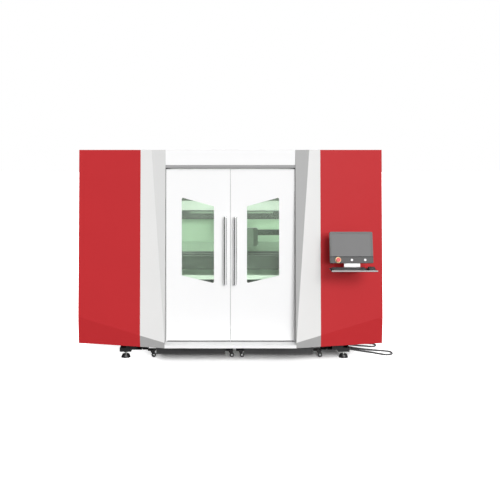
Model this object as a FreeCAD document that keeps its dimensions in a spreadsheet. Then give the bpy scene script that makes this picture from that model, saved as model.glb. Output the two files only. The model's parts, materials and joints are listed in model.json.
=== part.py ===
"""Enclosed fiber laser cutting machine: parametric model.

Millimetres, X to the right, Y to the back, Z up. Every depth below is measured back from the
plane of the sill, and front_y then places all sub-parts so that the origin lies under the
middle of the machine's box.
"""
import FreeCAD, Part
import math
import os
import re
import Sketcher
from FreeCAD import Placement, Rotation, Vector

# ---------------------------------------------------------------- driving dimensions
SIZES = {
    # housing
    "cabinet_width": 2910, "cabinet_height": 2000, "machine_depth": 1860, "console_reach": 290,
    "skirt_height": 147, "sheet_wall": 3, "wing_boundary": 850, "opening_width": 1232,
    "face_sweep": 0.1886, "face_lean": 0.0326, "chin_inner_height": 198, "chin_slope": 0.2467,
    "chin_tuck": 0.1124, "crease_top": 744, "facet_depth": 123, "wing_side_depth": 420,
    "jamb_depth": 132, "joint_flange": 30,
    "header_depth": 125, "header_height": 144, "trim_height": 35, "door_rail_depth": 200,
    "sill_top": 175, "frame_tube": 60, "frame_front": 225, "jamb_post_gap": 24,
    "louvre_count": 8, "louvre_width": 420, "louvre_pitch": 40, "louvre_height": 16,
    # base
    "base_shift": 40, "skid_width": 200, "skid_tube": 50, "guide_leg": 53,
    "skid_bottom": 79, "cross_tube": 68, "base_front": 205, "base_back": 1820,
    "foot_diameter": 93, "foot_height": 30, "foot_bevel": 12, "stud_diameter": 20,
    "stud_gap": 0.2, "nut_height": 14, "foot_block": 110, "foot_block_bottom": 60,
    "foot_block_top": 99, "foot_inset": 40,
    # doors
    "door_gap": 4, "door_thickness": 40, "door_front": 140, "door_wall": 3, "seam_gap": 4,
    "pivot_inset": 31, "pivot_setback": 25, "pivot_diameter": 16, "pivot_depth": 15,
    "pivot_clearance": 0.08, "pivot_block": 44, "door_lift": 5,
    "window_inner": 157, "window_outer": 463.5, "window_top_inner": 1462,
    "window_top_outer": 1547, "window_bottom_inner": 731, "window_bottom_outer": 803,
    "window_corner": 12, "window_margin": 60, "pane_thickness": 6, "pane_overlap": 12,
    "handle_offset": 47.5, "handle_diameter": 32, "handle_bottom": 726, "handle_top": 1370,
    "post_low": 852, "post_high": 1233, "post_diameter": 16, "handle_standoff": 62,
    # bed and chamber
    "bed_left": -760, "bed_right": 840, "bed_front": 430, "bed_depth": 1160,
    "bed_beam": 90, "bed_beam_bottom": 816, "bed_beam_top": 950, "bed_leg": 80,
    "slat_count": 9, "slat_pitch": 105, "slat_start": 40, "slat_top": 982, "slat_depth": 62,
    "slat_thickness": 6, "tooth_pitch": 19, "tooth_height": 14, "ledge_width": 30,
    "ledge_height": 15, "hopper_outlet": 230, "hopper_taper": 60,
    "rail_width": 20, "rail_height": 16, "rear_beam_bottom": 1215, "rear_beam_top": 1305,
    "rear_rail_inset": 14, "tie_depth": 30, "tie_low": 722, "tie_high": 764,
    "liner_back": 1720, "liner_side": 960, "duct_depth": 110, "duct_low": 1408,
    "duct_high": 1600, "duct_slope": 60,
    # gantry, carriage and cutting head
    "gantry_x": 218, "gantry_width": 106, "gantry_front": 445, "gantry_bottom": 1046,
    "gantry_top": 1112, "gantry_wall": 8, "cover_left": 105, "cover_top": 1227,
    "cover_length": 45, "cover_corner": 20, "cover_bevel": 46, "cover_bevel_depth": 32,
    "slide_gap": 0.3, "block_width": 44, "block_length": 70, "block_height": 22,
    "side_block_width": 32, "hanger_x": 18, "bracket_width": 340, "bracket_wall": 14,
    "hanger_rise": 8, "foot_width": 60, "cable_arm_length": 250,
    "cable_arm_low": 1153, "cable_arm_high": 1206, "cable_arm_depth": 40,
    "carriage_front": 1000, "carriage_length": 180, "carriage_wall": 16,
    "carriage_low": 1040, "carriage_high": 1250, "side_rail_inset": 14,
    "side_rail_start": 62,
    "slide_width": 100, "slide_wall": 14, "slide_low": 1060, "slide_high": 1240,
    "head_diameter": 46, "head_gap": 4, "head_low": 1070, "nozzle_length": 34,
    "nozzle_gap": 42, "nozzle_tip": 8, "motor_size": 80, "motor_length": 110,
    "motor_cap": 18, "motor_inset": 30, "clamp_wall": 8, "clamp_rise": 70, "clamp_height": 40,
    "chain_height": 24, "chain_width": 44, "chain_pitch": 34, "chain_gap": 5,
    "chain_bend": 28, "chain_setback": 10, "tray_wall": 3, "tray_low": 1222,
    "tray_reach": 64, "tray_drop": 7, "chain_arm_gap": 0.6, "chain_arm_width": 60,
    # cabinets inside the wings
    "cabinet_aisle": 20, "soft_corner": 8, "door_pressing": 2,
    "electrics_clearance": 52, "electrics_depth": 760, "electrics_height": 1500,
    "source_clearance": 32, "source_depth": 800, "source_height": 460,
    # console
    "console_front": 170, "console_centre": 1107.5, "console_width": 391,
    "console_length": 285, "console_tilt": 12, "console_back_wall": 12,
    "console_thickness": 55, "console_bottom": 968.8, "console_corner": 10,
    "screen_start": 60, "screen_inset": 14, "screen_recess": 3, "screen_glass": 4,
    "button_row": 28, "estop_offset": -126.5, "button_one_offset": -1.4,
    "button_two_offset": 119.7,
    "estop_ring": 48, "estop_cap": 38, "estop_neck": 22, "estop_travel": 5,
    "button_diameter": 20, "button_ring": 26, "button_travel": 2, "bore_gap": 0.3,
    "arm_width": 120, "arm_height": 66, "arm_front": -200, "arm_tip": 13, "arm_root": 95,
    "neck_centre": 1120,
    "tray_plate": 8, "tray_left": 909, "tray_width": 413, "tray_back": -108, "tray_top": 914,
    "tray_lip": 6, "neck_width": 146, "neck_front": -104, "neck_depth": 30,
    "keyboard_width": 300, "keyboard_depth": 118, "keyboard_height": 16,
    "mouse_width": 58, "mouse_length": 96, "mouse_height": 26,
    # scrap carts
    "cart_width": 667, "cart_spacing": 850, "cart_front": 262,
    "cart_length": 1380, "cart_bottom": 23, "cart_top": 128, "cart_wall": 2.5,
    "ear_reach": 78, "ear_front": 51, "ear_overlap": 40, "ear_thickness": 4,
    "caster_height": 66, "caster_offset": 43, "caster_setback": 19, "caster_trail": 22,
    "wheel_diameter": 46, "wheel_width": 18, "axle_diameter": 8, "fork_wall": 2.5,
    "fork_gap": 0.6, "kingpin_diameter": 12, "caster_clearance": 0.06, "tread_round": 3,
    "rear_axle_diameter": 12, "rear_axle_setback": 35, "lug_offset": 23, "lug_wall": 4,
    "guide_gap": 0.5, "guide_wall": 4, "guide_height": 36,
    # hoses on the floor
    "near_hose_diameter": 18, "far_hose_diameter": 16, "gland_length": 26, "gland_height": 17,
    "gland_across": 28, "gland_plate": 6, "gland_inset": 26, "gland_front": 440,
    "gland_back": 750,
}

# lengths worked out in the sheet from the driving ones
FOLLOWING = {
    "header_bottom": "=cabinet_height - header_height",
    "trim_bottom": "=header_bottom - trim_height",
    "cart_left": "=base_shift - cart_spacing / 2",
    "cart_right": "=base_shift + cart_spacing / 2",
    "skid_inner": "=cart_spacing / 2 + cart_width / 2 + ear_reach + guide_gap + guide_leg",
    "skid_outer": "=skid_inner + skid_width",
    "gland_plate_x": "=base_shift + skid_outer - gland_inset",
    "electrics_width": "=cabinet_width / 2 - sheet_wall - liner_side - cabinet_aisle"
                       " - electrics_clearance",
    "source_width": "=cabinet_width / 2 - sheet_wall - liner_side - cabinet_aisle"
                    " - source_clearance",
}
NAMED = {**SIZES, **FOLLOWING}

doc = FreeCAD.newDocument("laser_cutting_machine")
sheet = doc.addObject("Spreadsheet::Sheet", "Sizes")
for row, (alias, amount) in enumerate(NAMED.items(), start=1):
    sheet.set("A%d" % row, alias)
    sheet.set("B%d" % row, str(amount))
    sheet.setAlias("B%d" % row, alias)
doc.recompute()

# expressions used in several places
FRONT_Y = "(console_reach - machine_depth) / 2"
HALF = "cabinet_width / 2"
OPENING = "opening_width / 2"
INNER_SIDE = "(cabinet_width / 2 - sheet_wall)"
DOOR_BOTTOM = "(sill_top + door_lift)"
DOOR_TOP = "(trim_bottom - door_lift)"
DOOR_BACK = "(door_front + door_thickness)"
DOOR_EDGE = "(opening_width / 2 - door_gap)"
FLOOR_TOP = "(skirt_height + cross_tube)"
BED_BACK = "(bed_front + bed_depth)"
GANTRY_LEFT = "(gantry_x - gantry_width / 2)"
GANTRY_RIGHT = "(gantry_x + gantry_width / 2)"
RAIL_TOP = "(bed_beam_top + rail_height)"
PIVOT_X = "(opening_width / 2 - pivot_inset)"
PIVOT_Y = "(door_front + pivot_setback)"
PIN = "(pivot_diameter - 2 * pivot_clearance)"

nodes = []


def linked(text):
    """The expression with every named size pointed at the sheet."""
    return re.sub(r"[a-z][a-z_]+", lambda m: "Sizes." + m.group(0) if m.group(0) in NAMED
                  else m.group(0), str(text))


def number(text):
    """The present value of an expression."""
    return float(sheet.evalExpression(linked(text)))


def bind(thing, prop, text):
    """Drive a property of an object by an expression."""
    thing.setExpression(prop, linked(text))


def node(thing, label):
    """Name a finished sub-part and place it in the machine's frame."""
    thing.Label = label
    bind(thing, "Placement.Base.y", FRONT_Y)
    nodes.append(thing)
    return thing


# ---------------------------------------------------------------- sketch and feature helpers
def new_body(name):
    return doc.addObject("PartDesign::Body", name)


def new_sketch(body, plane, at):
    """A sketch on one of the body's origin planes, moved to the coordinate at."""
    made = body.newObject("Sketcher::SketchObject", "sketch")
    base = [item for item in body.Origin.OriginFeatures if item.Role == plane + "_Plane"][0]
    made.AttachmentSupport = [(base, "")]
    made.MapMode = "FlatFace"
    bind(made, "AttachmentOffset.Base.z", ("-(%s)" if plane == "XZ" else "(%s)") % at)
    return made


def outline(made, points):
    """A closed polygon whose corners are driven by expressions."""
    first = made.GeometryCount
    count = len(points)
    spots = [Vector(number(u), number(v), 0) for u, v in points]
    rules = []
    for i in range(count):
        made.addGeometry(Part.LineSegment(spots[i], spots[(i + 1) % count]))
        rules.append(Sketcher.Constraint("Coincident", first + i, 2, first + (i + 1) % count, 1))
    for i in range(count):
        rules.append(Sketcher.Constraint("DistanceX", -1, 1, first + i, 1, spots[i].x))
        rules.append(Sketcher.Constraint("DistanceY", -1, 1, first + i, 1, spots[i].y))
    start = made.ConstraintCount
    made.addConstraint(rules)
    for i, (u, v) in enumerate(points):
        bind(made, "Constraints[%d]" % (start + count + 2 * i), u)
        bind(made, "Constraints[%d]" % (start + count + 2 * i + 1), v)


def rectangle(made, left, right, low, high):
    outline(made, [(left, low), (right, low), (right, high), (left, high)])


def circle(made, u, v, diameter):
    """A circle whose centre and diameter are driven by expressions."""
    first = made.GeometryCount
    start = made.ConstraintCount
    spot = Vector(number(u), number(v), 0)
    made.addGeometry(Part.Circle(spot, Vector(0, 0, 1), number(diameter) / 2))
    made.addConstraint([
        Sketcher.Constraint("DistanceX", -1, 1, first, 3, spot.x),
        Sketcher.Constraint("DistanceY", -1, 1, first, 3, spot.y),
        Sketcher.Constraint("Diameter", first, number(diameter)),
    ])
    bind(made, "Constraints[%d]" % start, u)
    bind(made, "Constraints[%d]" % (start + 1), v)
    bind(made, "Constraints[%d]" % (start + 2), diameter)


def pad(body, plane, low, high, *shapes):
    """Pad drawn shapes between two coordinates along the plane's axis."""
    made = new_sketch(body, plane, low)
    for draw, values in shapes:
        draw(made, *values)
    feature = body.newObject("PartDesign::Pad", "pad")
    feature.Profile = made
    feature.Reversed = plane == "XZ"
    bind(feature, "Length", "(%s) - (%s)" % (high, low))
    return feature


def pocket(body, plane, low, high, *shapes):
    """Cut drawn shapes between two coordinates, and make sure that something went."""
    doc.recompute()
    before = body.Tip.Shape.Volume
    made = new_sketch(body, plane, low)
    for draw, values in shapes:
        draw(made, *values)
    feature = body.newObject("PartDesign::Pocket", "pocket")
    feature.Profile = made
    feature.Reversed = plane != "XZ"
    bind(feature, "Length", "(%s) - (%s)" % (high, low))
    doc.recompute()
    if not feature.Shape.Volume < before - 1e-6:
        raise RuntimeError("a pocket in %s cuts nothing" % body.Name)
    return feature


def straight_edges(shape, axis, keep=None):
    """Names of the straight edges along an axis, those that keep() accepts."""
    found = []
    for index, edge in enumerate(shape.Edges, start=1):
        if edge.Curve.TypeId != "Part::GeomLine":
            continue
        along = edge.Curve.Direction
        if abs(abs(along.dot(axis)) - 1) > 1e-6:
            continue
        if keep is None or keep(edge.CenterOfMass):
            found.append("Edge%d" % index)
    return found


def fillet(body, radius, axis, keep=None):
    """Round the straight edges along an axis."""
    doc.recompute()
    base = body.Tip
    feature = body.newObject("PartDesign::Fillet", "fillet")
    feature.Base = (base, straight_edges(base.Shape, axis, keep))
    bind(feature, "Radius", radius)
    return feature


X_AXIS = Vector(1, 0, 0)
Y_AXIS = Vector(0, 1, 0)
Z_AXIS = Vector(0, 0, 1)


def box(name, left, right, front, back, low, high):
    """A plain block between six coordinates."""
    made = doc.addObject("Part::Box", name)
    bind(made, "Length", "(%s) - (%s)" % (right, left))
    bind(made, "Width", "(%s) - (%s)" % (back, front))
    bind(made, "Height", "(%s) - (%s)" % (high, low))
    bind(made, "Placement.Base.x", left)
    bind(made, "Placement.Base.y", front)
    bind(made, "Placement.Base.z", low)
    return made


def rod(name, centre_x, centre_y, low, high, diameter):
    """An upright round bar."""
    made = doc.addObject("Part::Cylinder", name)
    bind(made, "Radius", "(%s) / 2" % diameter)
    bind(made, "Height", "(%s) - (%s)" % (high, low))
    bind(made, "Placement.Base.x", centre_x)
    bind(made, "Placement.Base.y", centre_y)
    bind(made, "Placement.Base.z", low)
    return made


def turned(made, axis, angle):
    made.Placement.Rotation = Rotation(axis, angle)
    return made


def cut(name, base, tool):
    made = doc.addObject("Part::Cut", name)
    made.Base = base
    made.Tool = tool
    return made


def fuse(name, members):
    made = doc.addObject("Part::MultiFuse", name)
    made.Shapes = members
    made.Refine = True
    return made


def group(name, members):
    """Separate like solids that share one node."""
    made = doc.addObject("Part::Compound", name)
    made.Links = members
    return made


def mirrored(source, name):
    """The left-hand twin of a right-hand piece."""
    made = doc.addObject("Part::Mirroring", name)
    made.Source = source
    made.Normal = X_AXIS
    made.Base = Vector(0, 0, 0)
    made.Label = name
    nodes.append(made)
    return made


# ---------------------------------------------------------------- faceted front shells
def face_y(x, z):
    """Depth of the swept and leaning front plane at the right."""
    return (number("face_sweep") * (x - number(OPENING))
            + number("face_lean") * (z - number("chin_inner_height")))


def chin_z(x):
    """Height of the crease under which the front tips back."""
    return number("chin_inner_height") + number("chin_slope") * (x - number(OPENING))


def on_face(x, z):
    return Vector(x, face_y(x, z), z)


def on_chin(x):
    return on_face(x, chin_z(x))


def on_skirt(x):
    """The front shell's bottom edge, tucked back under the chin."""
    drop = chin_z(x) - number("skirt_height")
    return Vector(x, face_y(x, chin_z(x)) + number("chin_tuck") * drop, number("skirt_height"))


def plate(corners, along):
    """A flat polygon of sheet, thickened along one direction."""
    return Part.Face(Part.makePolygon(corners + corners[:1])).extrude(along)


def folded(name, plates):
    """One folded sheet made of flat plates that share their creases."""
    shape = plates[0].multiFuse(plates[1:]).removeSplitter()
    made = doc.addObject("Part::Feature", name)
    made.Shape = shape.Solids[0] if len(shape.Solids) == 1 else shape
    return made


def column():
    """Silver door column: outer face, inner facet over a diagonal crease, chin and jamb."""
    wall = number("sheet_wall")
    inner = number(OPENING)
    outer = number("wing_boundary")
    top = number("cabinet_height")
    jamb = number("jamb_depth")
    into = Vector(0, wall, 0)
    foot = on_chin(inner)
    crease = on_face(number("crease_top"), top)
    facet = Vector(inner, number("facet_depth"), top)
    joint = Vector(0, number("joint_flange"), 0)
    low_in, low_out, chin_out = on_skirt(inner), on_skirt(outer), on_chin(outer)
    top_out, flange_top = on_face(outer, top), on_face(outer, top - 2 * wall)
    jamb_low = Vector(inner, jamb, low_in.z)
    jamb_top = Vector(inner, jamb, top - 2 * wall)
    facet_low = Vector(inner, facet.y + wall, jamb_top.z)
    return folded("right_column", [
        plate([foot, chin_out, top_out, crease], into),
        plate([foot, crease, facet], into),
        plate([low_in, low_out, chin_out, foot], into),
        plate([low_in, foot, facet, facet + into, facet_low, jamb_top, jamb_low],
              Vector(wall, 0, 0)),
        plate([low_out, chin_out, flange_top, flange_top + joint, chin_out + joint,
               low_out + joint], Vector(-wall, 0, 0)),
        plate([low_in, low_out, low_out + joint, low_in + joint], Vector(0, 0, wall)),
    ])


def wing():
    """Red corner shell: swept face, chin, deep side return and a joint flange."""
    wall = number("sheet_wall")
    inner = number("wing_boundary")
    outer = number(HALF)
    top = number("cabinet_height")
    back = number("wing_side_depth")
    into = Vector(0, wall, 0)
    joint = Vector(0, number("joint_flange"), 0)
    low_in, chin_in, top_in = on_skirt(inner), on_chin(inner), on_face(inner, top)
    low_out, chin_out, top_out = on_skirt(outer), on_chin(outer), on_face(outer, top)
    flange_top = on_face(inner, top - 2 * wall)
    return folded("right_wing", [
        plate([chin_in, chin_out, top_out, top_in], into),
        plate([low_in, low_out, chin_out, chin_in], into),
        plate([low_out, chin_out, top_out, Vector(outer, back, top),
               Vector(outer, back, low_out.z)], Vector(-wall, 0, 0)),
        plate([low_in, chin_in, flange_top, flange_top + joint, chin_in + joint,
               low_in + joint], Vector(wall, 0, 0)),
        plate([low_in, low_out, low_out + joint, low_in + joint], Vector(0, 0, wall)),
    ])


right_column = node(column(), "right_column")
mirrored(right_column, "left_column")
right_wing = node(wing(), "right_wing")
mirrored(right_wing, "left_wing")


# ---------------------------------------------------------------- header, sill, roof, sides
def header():
    """White folded panel over the doors, hung on the front roof rail."""
    body = new_body("header")
    back = "frame_front"
    wall = "sheet_wall"
    pad(body, "YZ", "-(%s)" % OPENING, OPENING, (outline, ([
        ("header_depth", "header_bottom"), (back, "header_bottom"),
        (back, "cabinet_height - 2 * %s" % wall),
        ("%s - %s" % (back, wall), "cabinet_height - 2 * %s" % wall),
        ("%s - %s" % (back, wall), "header_bottom + %s" % wall),
        ("header_depth + %s" % wall, "header_bottom + %s" % wall),
        ("header_depth + %s" % wall, "cabinet_height"), ("header_depth", "cabinet_height")],)))
    return node(body, "header_panel")


def pivot_bores(body, low, high):
    """Two holes for the door pivot pins, one at each end of a rail."""
    for side in ("", "-"):
        pocket(body, "XY", low, high, (circle, (
            "%s(%s - pivot_inset)" % (side, OPENING), "door_front + pivot_setback",
            "pivot_diameter")))


def trim():
    """Grey door head rail that holds the upper pivots."""
    body = new_body("trim")
    pad(body, "XZ", "header_depth", "door_rail_depth",
        (rectangle, ("-(%s)" % OPENING, OPENING, "trim_bottom", "header_bottom")))
    pocket(body, "YZ", "-(%s)" % OPENING, OPENING,
           (rectangle, ("door_front + door_thickness + door_gap", "door_rail_depth - sheet_wall",
                        "trim_bottom + sheet_wall", "header_bottom")))
    pivot_bores(body, "trim_bottom", "trim_bottom + pivot_depth")
    return node(body, "header_trim")


def sill():
    """White threshold box between the columns, with the lower pivot holes."""
    body = new_body("sill")
    pad(body, "XZ", "0", "frame_front",
        (rectangle, ("-(%s)" % OPENING, OPENING, "skirt_height", "sill_top")))
    pocket(body, "YZ", "-(%s)" % OPENING, OPENING,
           (rectangle, ("sheet_wall", "jamb_depth - 10", "skirt_height",
                        "sill_top - sheet_wall")))
    pivot_bores(body, "sill_top - pivot_depth", "sill_top")
    return node(body, "sill_panel")


def roof():
    """Roof sheet that follows the faceted front and lies on the roof rails."""
    body = new_body("roof")
    lift = "face_lean * (cabinet_height - chin_inner_height)"

    def edge(x):
        return "face_sweep * (%s - %s) + %s + sheet_wall" % (x, OPENING, lift)

    right = [(OPENING, "facet_depth + sheet_wall"), ("crease_top", edge("crease_top")),
             (INNER_SIDE, edge(INNER_SIDE)), (INNER_SIDE, "machine_depth - sheet_wall")]
    left = [("-(%s)" % x, y) for x, y in reversed(right)]
    front = [("-(%s)" % OPENING, "header_depth + sheet_wall"),
             (OPENING, "header_depth + sheet_wall")]
    pad(body, "XY", "cabinet_height - sheet_wall", "cabinet_height",
        (outline, (right + left + front,)))
    return node(body, "roof_panel")


def side_panel():
    """Outer side wall behind the red corner shell, with a vented service door pressing."""
    body = new_body("side")
    pad(body, "YZ", INNER_SIDE, HALF,
        (rectangle, ("wing_side_depth + 2", "machine_depth", "skirt_height", "cabinet_height")))
    for edge in ("wing_side_depth + 2", "machine_depth - sheet_wall"):
        pad(body, "YZ", "%s - joint_flange" % INNER_SIDE, INNER_SIDE,
            (rectangle, (edge, "%s + sheet_wall" % edge, "skirt_height",
                         "cabinet_height - sheet_wall - frame_tube")))
    louvres(body, "YZ", "%s - 1" % INNER_SIDE, "%s + 1" % HALF,
            "(wing_side_depth + machine_depth) / 2", "skirt_height + 180")
    return node(body, "right_side_panel")


def louvres(body, plane, low, high, centre, bottom):
    """A column of long air slots through a wall."""
    slot = pocket(body, plane, low, high, (rectangle, (
        "%s - louvre_width / 2" % centre, "%s + louvre_width / 2" % centre,
        bottom, "%s + louvre_height" % bottom)))
    rows = body.newObject("PartDesign::LinearPattern", "louvre_rows")
    rows.Originals = [slot]
    rows.Direction = (slot.Profile[0], ["V_Axis"])
    bind(rows, "Length", "louvre_pitch * (louvre_count - 1)")
    bind(rows, "Occurrences", "louvre_count")
    body.Tip = rows
    doc.recompute()
    return rows


def rear_panel():
    """Rear wall sheet with two columns of air slots."""
    body = new_body("rear")
    pad(body, "XZ", "machine_depth - sheet_wall", "machine_depth",
        (rectangle, ("-(%s - joint_flange)" % INNER_SIDE, "%s - joint_flange" % INNER_SIDE,
                     "skirt_height", "cabinet_height")))
    louvres(body, "XZ", "machine_depth - sheet_wall - 1", "machine_depth + 1",
            "-(%s) / 2" % HALF, "skirt_height + 180")
    louvres(body, "XZ", "machine_depth - sheet_wall - 1", "machine_depth + 1",
            "%s / 2" % HALF, "skirt_height + 180")
    return node(body, "rear_panel")


header()
trim()
sill()
roof()
mirrored(side_panel(), "left_side_panel")
rear_panel()


# ---------------------------------------------------------------- frames and feet
def tube(name, left, right, front, back, low, high, along, wall="sheet_wall + 1"):
    """Rectangular steel tube, open at both ends along one axis."""
    grow = {"X": (wall, 0), "Y": (wall, 0), "Z": (wall, 0)}
    grow[along] = (0, 2)
    sides = {}
    for axis, (low_end, high_end) in zip("XYZ", ((left, right), (front, back), (low, high))):
        inset, over = grow[axis]
        sides[axis] = ("%s + %s - %s" % (low_end, inset, over),
                       "%s - (%s) + %s" % (high_end, inset, over))
    outer = box(name, left, right, front, back, low, high)
    inner = box(name + "_bore", *(sides["X"] + sides["Y"] + sides["Z"]))
    return cut(name + "_tube", outer, inner)


def base():
    """Two welded skids under three cross tubes that bridge the scrap bay."""
    tubes = []
    for side, outer in (("left", "base_shift - skid_outer"),
                        ("right", "base_shift + skid_inner")):
        inner = "%s + skid_width" % outer
        for name, start in (("outer", outer), ("inner", "%s - skid_tube" % inner)):
            tubes.append(tube("%s_%s_rail" % (side, name), start, "%s + skid_tube" % start,
                              "base_front", "base_back", "skid_bottom", "skirt_height", "Y"))
        for name, start in (("front", "base_front"), ("back", "base_back - skid_tube")):
            tubes.append(box("%s_%s_end" % (side, name), "%s + skid_tube" % outer,
                             "%s - skid_tube" % inner, start, "%s + skid_tube" % start,
                             "skid_bottom", "skirt_height"))
    middle = "(base_front + base_back) / 2 - skid_tube / 2"
    for name, start in (("front", "frame_front"), ("bed_front", "bed_front"), ("middle", middle),
                        ("bed_back", BED_BACK + " - frame_tube"),
                        ("back", "base_back - frame_tube")):
        tubes.append(tube("%s_cross" % name, "-(%s)" % INNER_SIDE, INNER_SIDE, start,
                          "%s + frame_tube" % start, "skirt_height", FLOOR_TOP, "X"))
    for spot in FEET:
        tubes.append(foot_block(*spot))
    for way in ("-", "+"):
        tubes += cart_guide(way)
    return node(fuse("base_weldment", tubes), "base_frame")


def cart_guide(way):
    """Angle iron on a skid that a cart's ears run along."""
    skid = "base_shift %s skid_inner" % way
    ear = "base_shift %s (skid_inner - guide_leg)" % way
    low_x, high_x = (skid, ear) if way == "-" else (ear, skid)
    web = (skid, "%s + guide_wall" % skid) if way == "-" else ("%s - guide_wall" % skid, skid)
    front, back = "base_front + skid_tube", "base_back - skid_tube"
    low = "(caster_height + 1)"
    return [box("guide_leg", low_x, high_x, front, back, low, "%s + guide_wall" % low),
            box("guide_web", web[0], web[1], front, back, low, "%s + guide_height" % low)]


def foot_x(side):
    return "base_shift + (%s) * (skid_outer - foot_inset)" % side


FEET = [(foot_x(side), y) for side in (-1, 1)
        for y in ("base_front + foot_inset", "base_back - foot_inset")]


def foot_block(x, y):
    """Chamfered boss that takes a levelling stud."""
    low = box("block", "%s - foot_block / 2" % x, "%s + foot_block / 2" % x,
              "%s - foot_inset" % y, "%s + foot_inset" % y, "foot_block_bottom",
              "foot_block_top")
    bore = rod("stud_hole", x, y, "foot_block_bottom - 1", "skid_bottom",
               "stud_diameter + 2 * stud_gap")
    return cut("foot_boss", low, bore)


def feet():
    """Levelling studs on round pads, four alike."""
    made = []
    for x, y in FEET:
        pad_part = doc.addObject("Part::Cone", "pad")
        bind(pad_part, "Radius1", "foot_diameter / 2")
        bind(pad_part, "Radius2", "foot_diameter / 2 - foot_bevel")
        bind(pad_part, "Height", "foot_height")
        bind(pad_part, "Placement.Base.x", x)
        bind(pad_part, "Placement.Base.y", y)
        stud = rod("stud", x, y, "foot_height - 2", "skid_bottom - 1", "stud_diameter")
        nut = doc.addObject("Part::Prism", "nut")
        nut.Polygon = 6
        bind(nut, "Circumradius", "stud_diameter * 0.85")
        bind(nut, "Height", "nut_height")
        bind(nut, "Placement.Base.x", x)
        bind(nut, "Placement.Base.y", y)
        bind(nut, "Placement.Base.z", "foot_block_bottom - nut_height")
        made.append(fuse("levelling_foot", [pad_part, stud, nut]))
    return node(group("feet", made), "levelling_feet")


def skeleton():
    """Corner posts, jamb posts and the roof ring that the sheets hang on."""
    made = []
    tube_width = "frame_tube"
    corner = "%s - frame_tube" % INNER_SIDE
    jamb = "%s + jamb_post_gap" % OPENING
    ring_low = "cabinet_height - sheet_wall - frame_tube"
    ring_high = "cabinet_height - sheet_wall"
    rear = "machine_depth - sheet_wall - frame_tube"
    for side in ("left", "right"):
        for name, x, y in (("front", corner, "frame_front"), ("rear", corner, rear),
                           ("jamb", jamb, "frame_front")):
            x_low = x if side == "right" else "-(%s + %s)" % (x, tube_width)
            made.append(tube("%s_%s_post" % (side, name), x_low, "%s + %s" % (x_low, tube_width),
                             y, "%s + %s" % (y, tube_width), FLOOR_TOP, ring_low, "Z"))
        x_low = corner if side == "right" else "-(%s)" % INNER_SIDE
        made.append(tube(side + "_ring", x_low, "%s + %s" % (x_low, tube_width),
                         "frame_front + frame_tube", rear, ring_low, ring_high, "Y"))
    for name, y in (("front", "frame_front"), ("rear", rear)):
        made.append(tube(name + "_ring", "-(%s)" % INNER_SIDE, INNER_SIDE, y,
                         "%s + frame_tube" % y, ring_low, ring_high, "X"))
    return node(group("skeleton", made), "cabinet_frame")


def liner():
    """Pale sheets that close the working chamber, and the fume duct high on the back one."""
    wall = "sheet_wall"
    top = "cabinet_height - sheet_wall - frame_tube"
    made = [box("back", "-(liner_side)", "liner_side", "liner_back", "liner_back + %s" % wall,
                FLOOR_TOP, top)]
    for side in ("-(liner_side)", "liner_side - %s" % wall):
        made.append(box("side", side, "%s + %s" % (side, wall), "frame_front + frame_tube",
                        "liner_back", FLOOR_TOP, top))
    made.append(duct())
    return node(group("liner", made), "chamber_liner")


def duct():
    """Fume duct across the chamber's back wall, with a sloped lower face."""
    body = new_body("duct")
    wall = "sheet_wall"
    front = "liner_back - duct_depth"
    pad(body, "YZ", "%s - liner_side" % wall, "liner_side - %s" % wall, (outline, ([
        ("liner_back", "duct_low"), ("liner_back", "duct_high"), (front, "duct_high"),
        (front, "duct_low + duct_slope")],)))
    pocket(body, "YZ", "2 * %s - liner_side" % wall, "liner_side - 2 * %s" % wall, (outline, ([
        ("liner_back - %s" % wall, "duct_low + 3 * %s" % wall),
        ("liner_back - %s" % wall, "duct_high - %s" % wall),
        ("%s + %s" % (front, wall), "duct_high - %s" % wall),
        ("%s + %s" % (front, wall), "duct_low + duct_slope + 2 * %s" % wall)],)))
    return body


base()
feet()
skeleton()
liner()


# ---------------------------------------------------------------- cutting bed
def bed():
    """Welded bed: four beams on legs, slat ledges, and posts for the rear guide beam."""
    inner_left, inner_right = "bed_left + bed_beam", "bed_right - bed_beam"
    inner_front, inner_back = "bed_front + bed_beam", BED_BACK + " - bed_beam"
    low, high = "bed_beam_bottom", "bed_beam_top"
    made = [
        box("front_beam", "bed_left", "bed_right", "bed_front", inner_front, low, high),
        box("rear_beam", "bed_left", "bed_right", inner_back, BED_BACK, low, high),
        box("left_beam", "bed_left", inner_left, inner_front, inner_back, low, high),
        box("right_beam", inner_right, "bed_right", inner_front, inner_back, low, high),
    ]
    ledge_high = "slat_top - slat_depth"
    for name, left in (("left", inner_left), ("right", "%s - ledge_width" % inner_right)):
        made.append(box(name + "_ledge", left, "%s + ledge_width" % left, inner_front,
                        inner_back, "%s - ledge_height" % ledge_high, ledge_high))
    for left in ("bed_left", "bed_right - bed_leg"):
        for front in ("bed_front", BED_BACK + " - bed_leg"):
            made.append(box("leg", left, "%s + bed_leg" % left, front, "%s + bed_leg" % front,
                            FLOOR_TOP, low))
        made.append(box("post", left, "%s + bed_leg" % left, inner_back, BED_BACK, high,
                        "rear_beam_bottom"))
    made.append(box("tie", "bed_left", "bed_right", "bed_front - tie_depth", "bed_front",
                    "tie_low", "tie_high"))
    return node(fuse("bed_weldment", made), "bed_frame")


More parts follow.
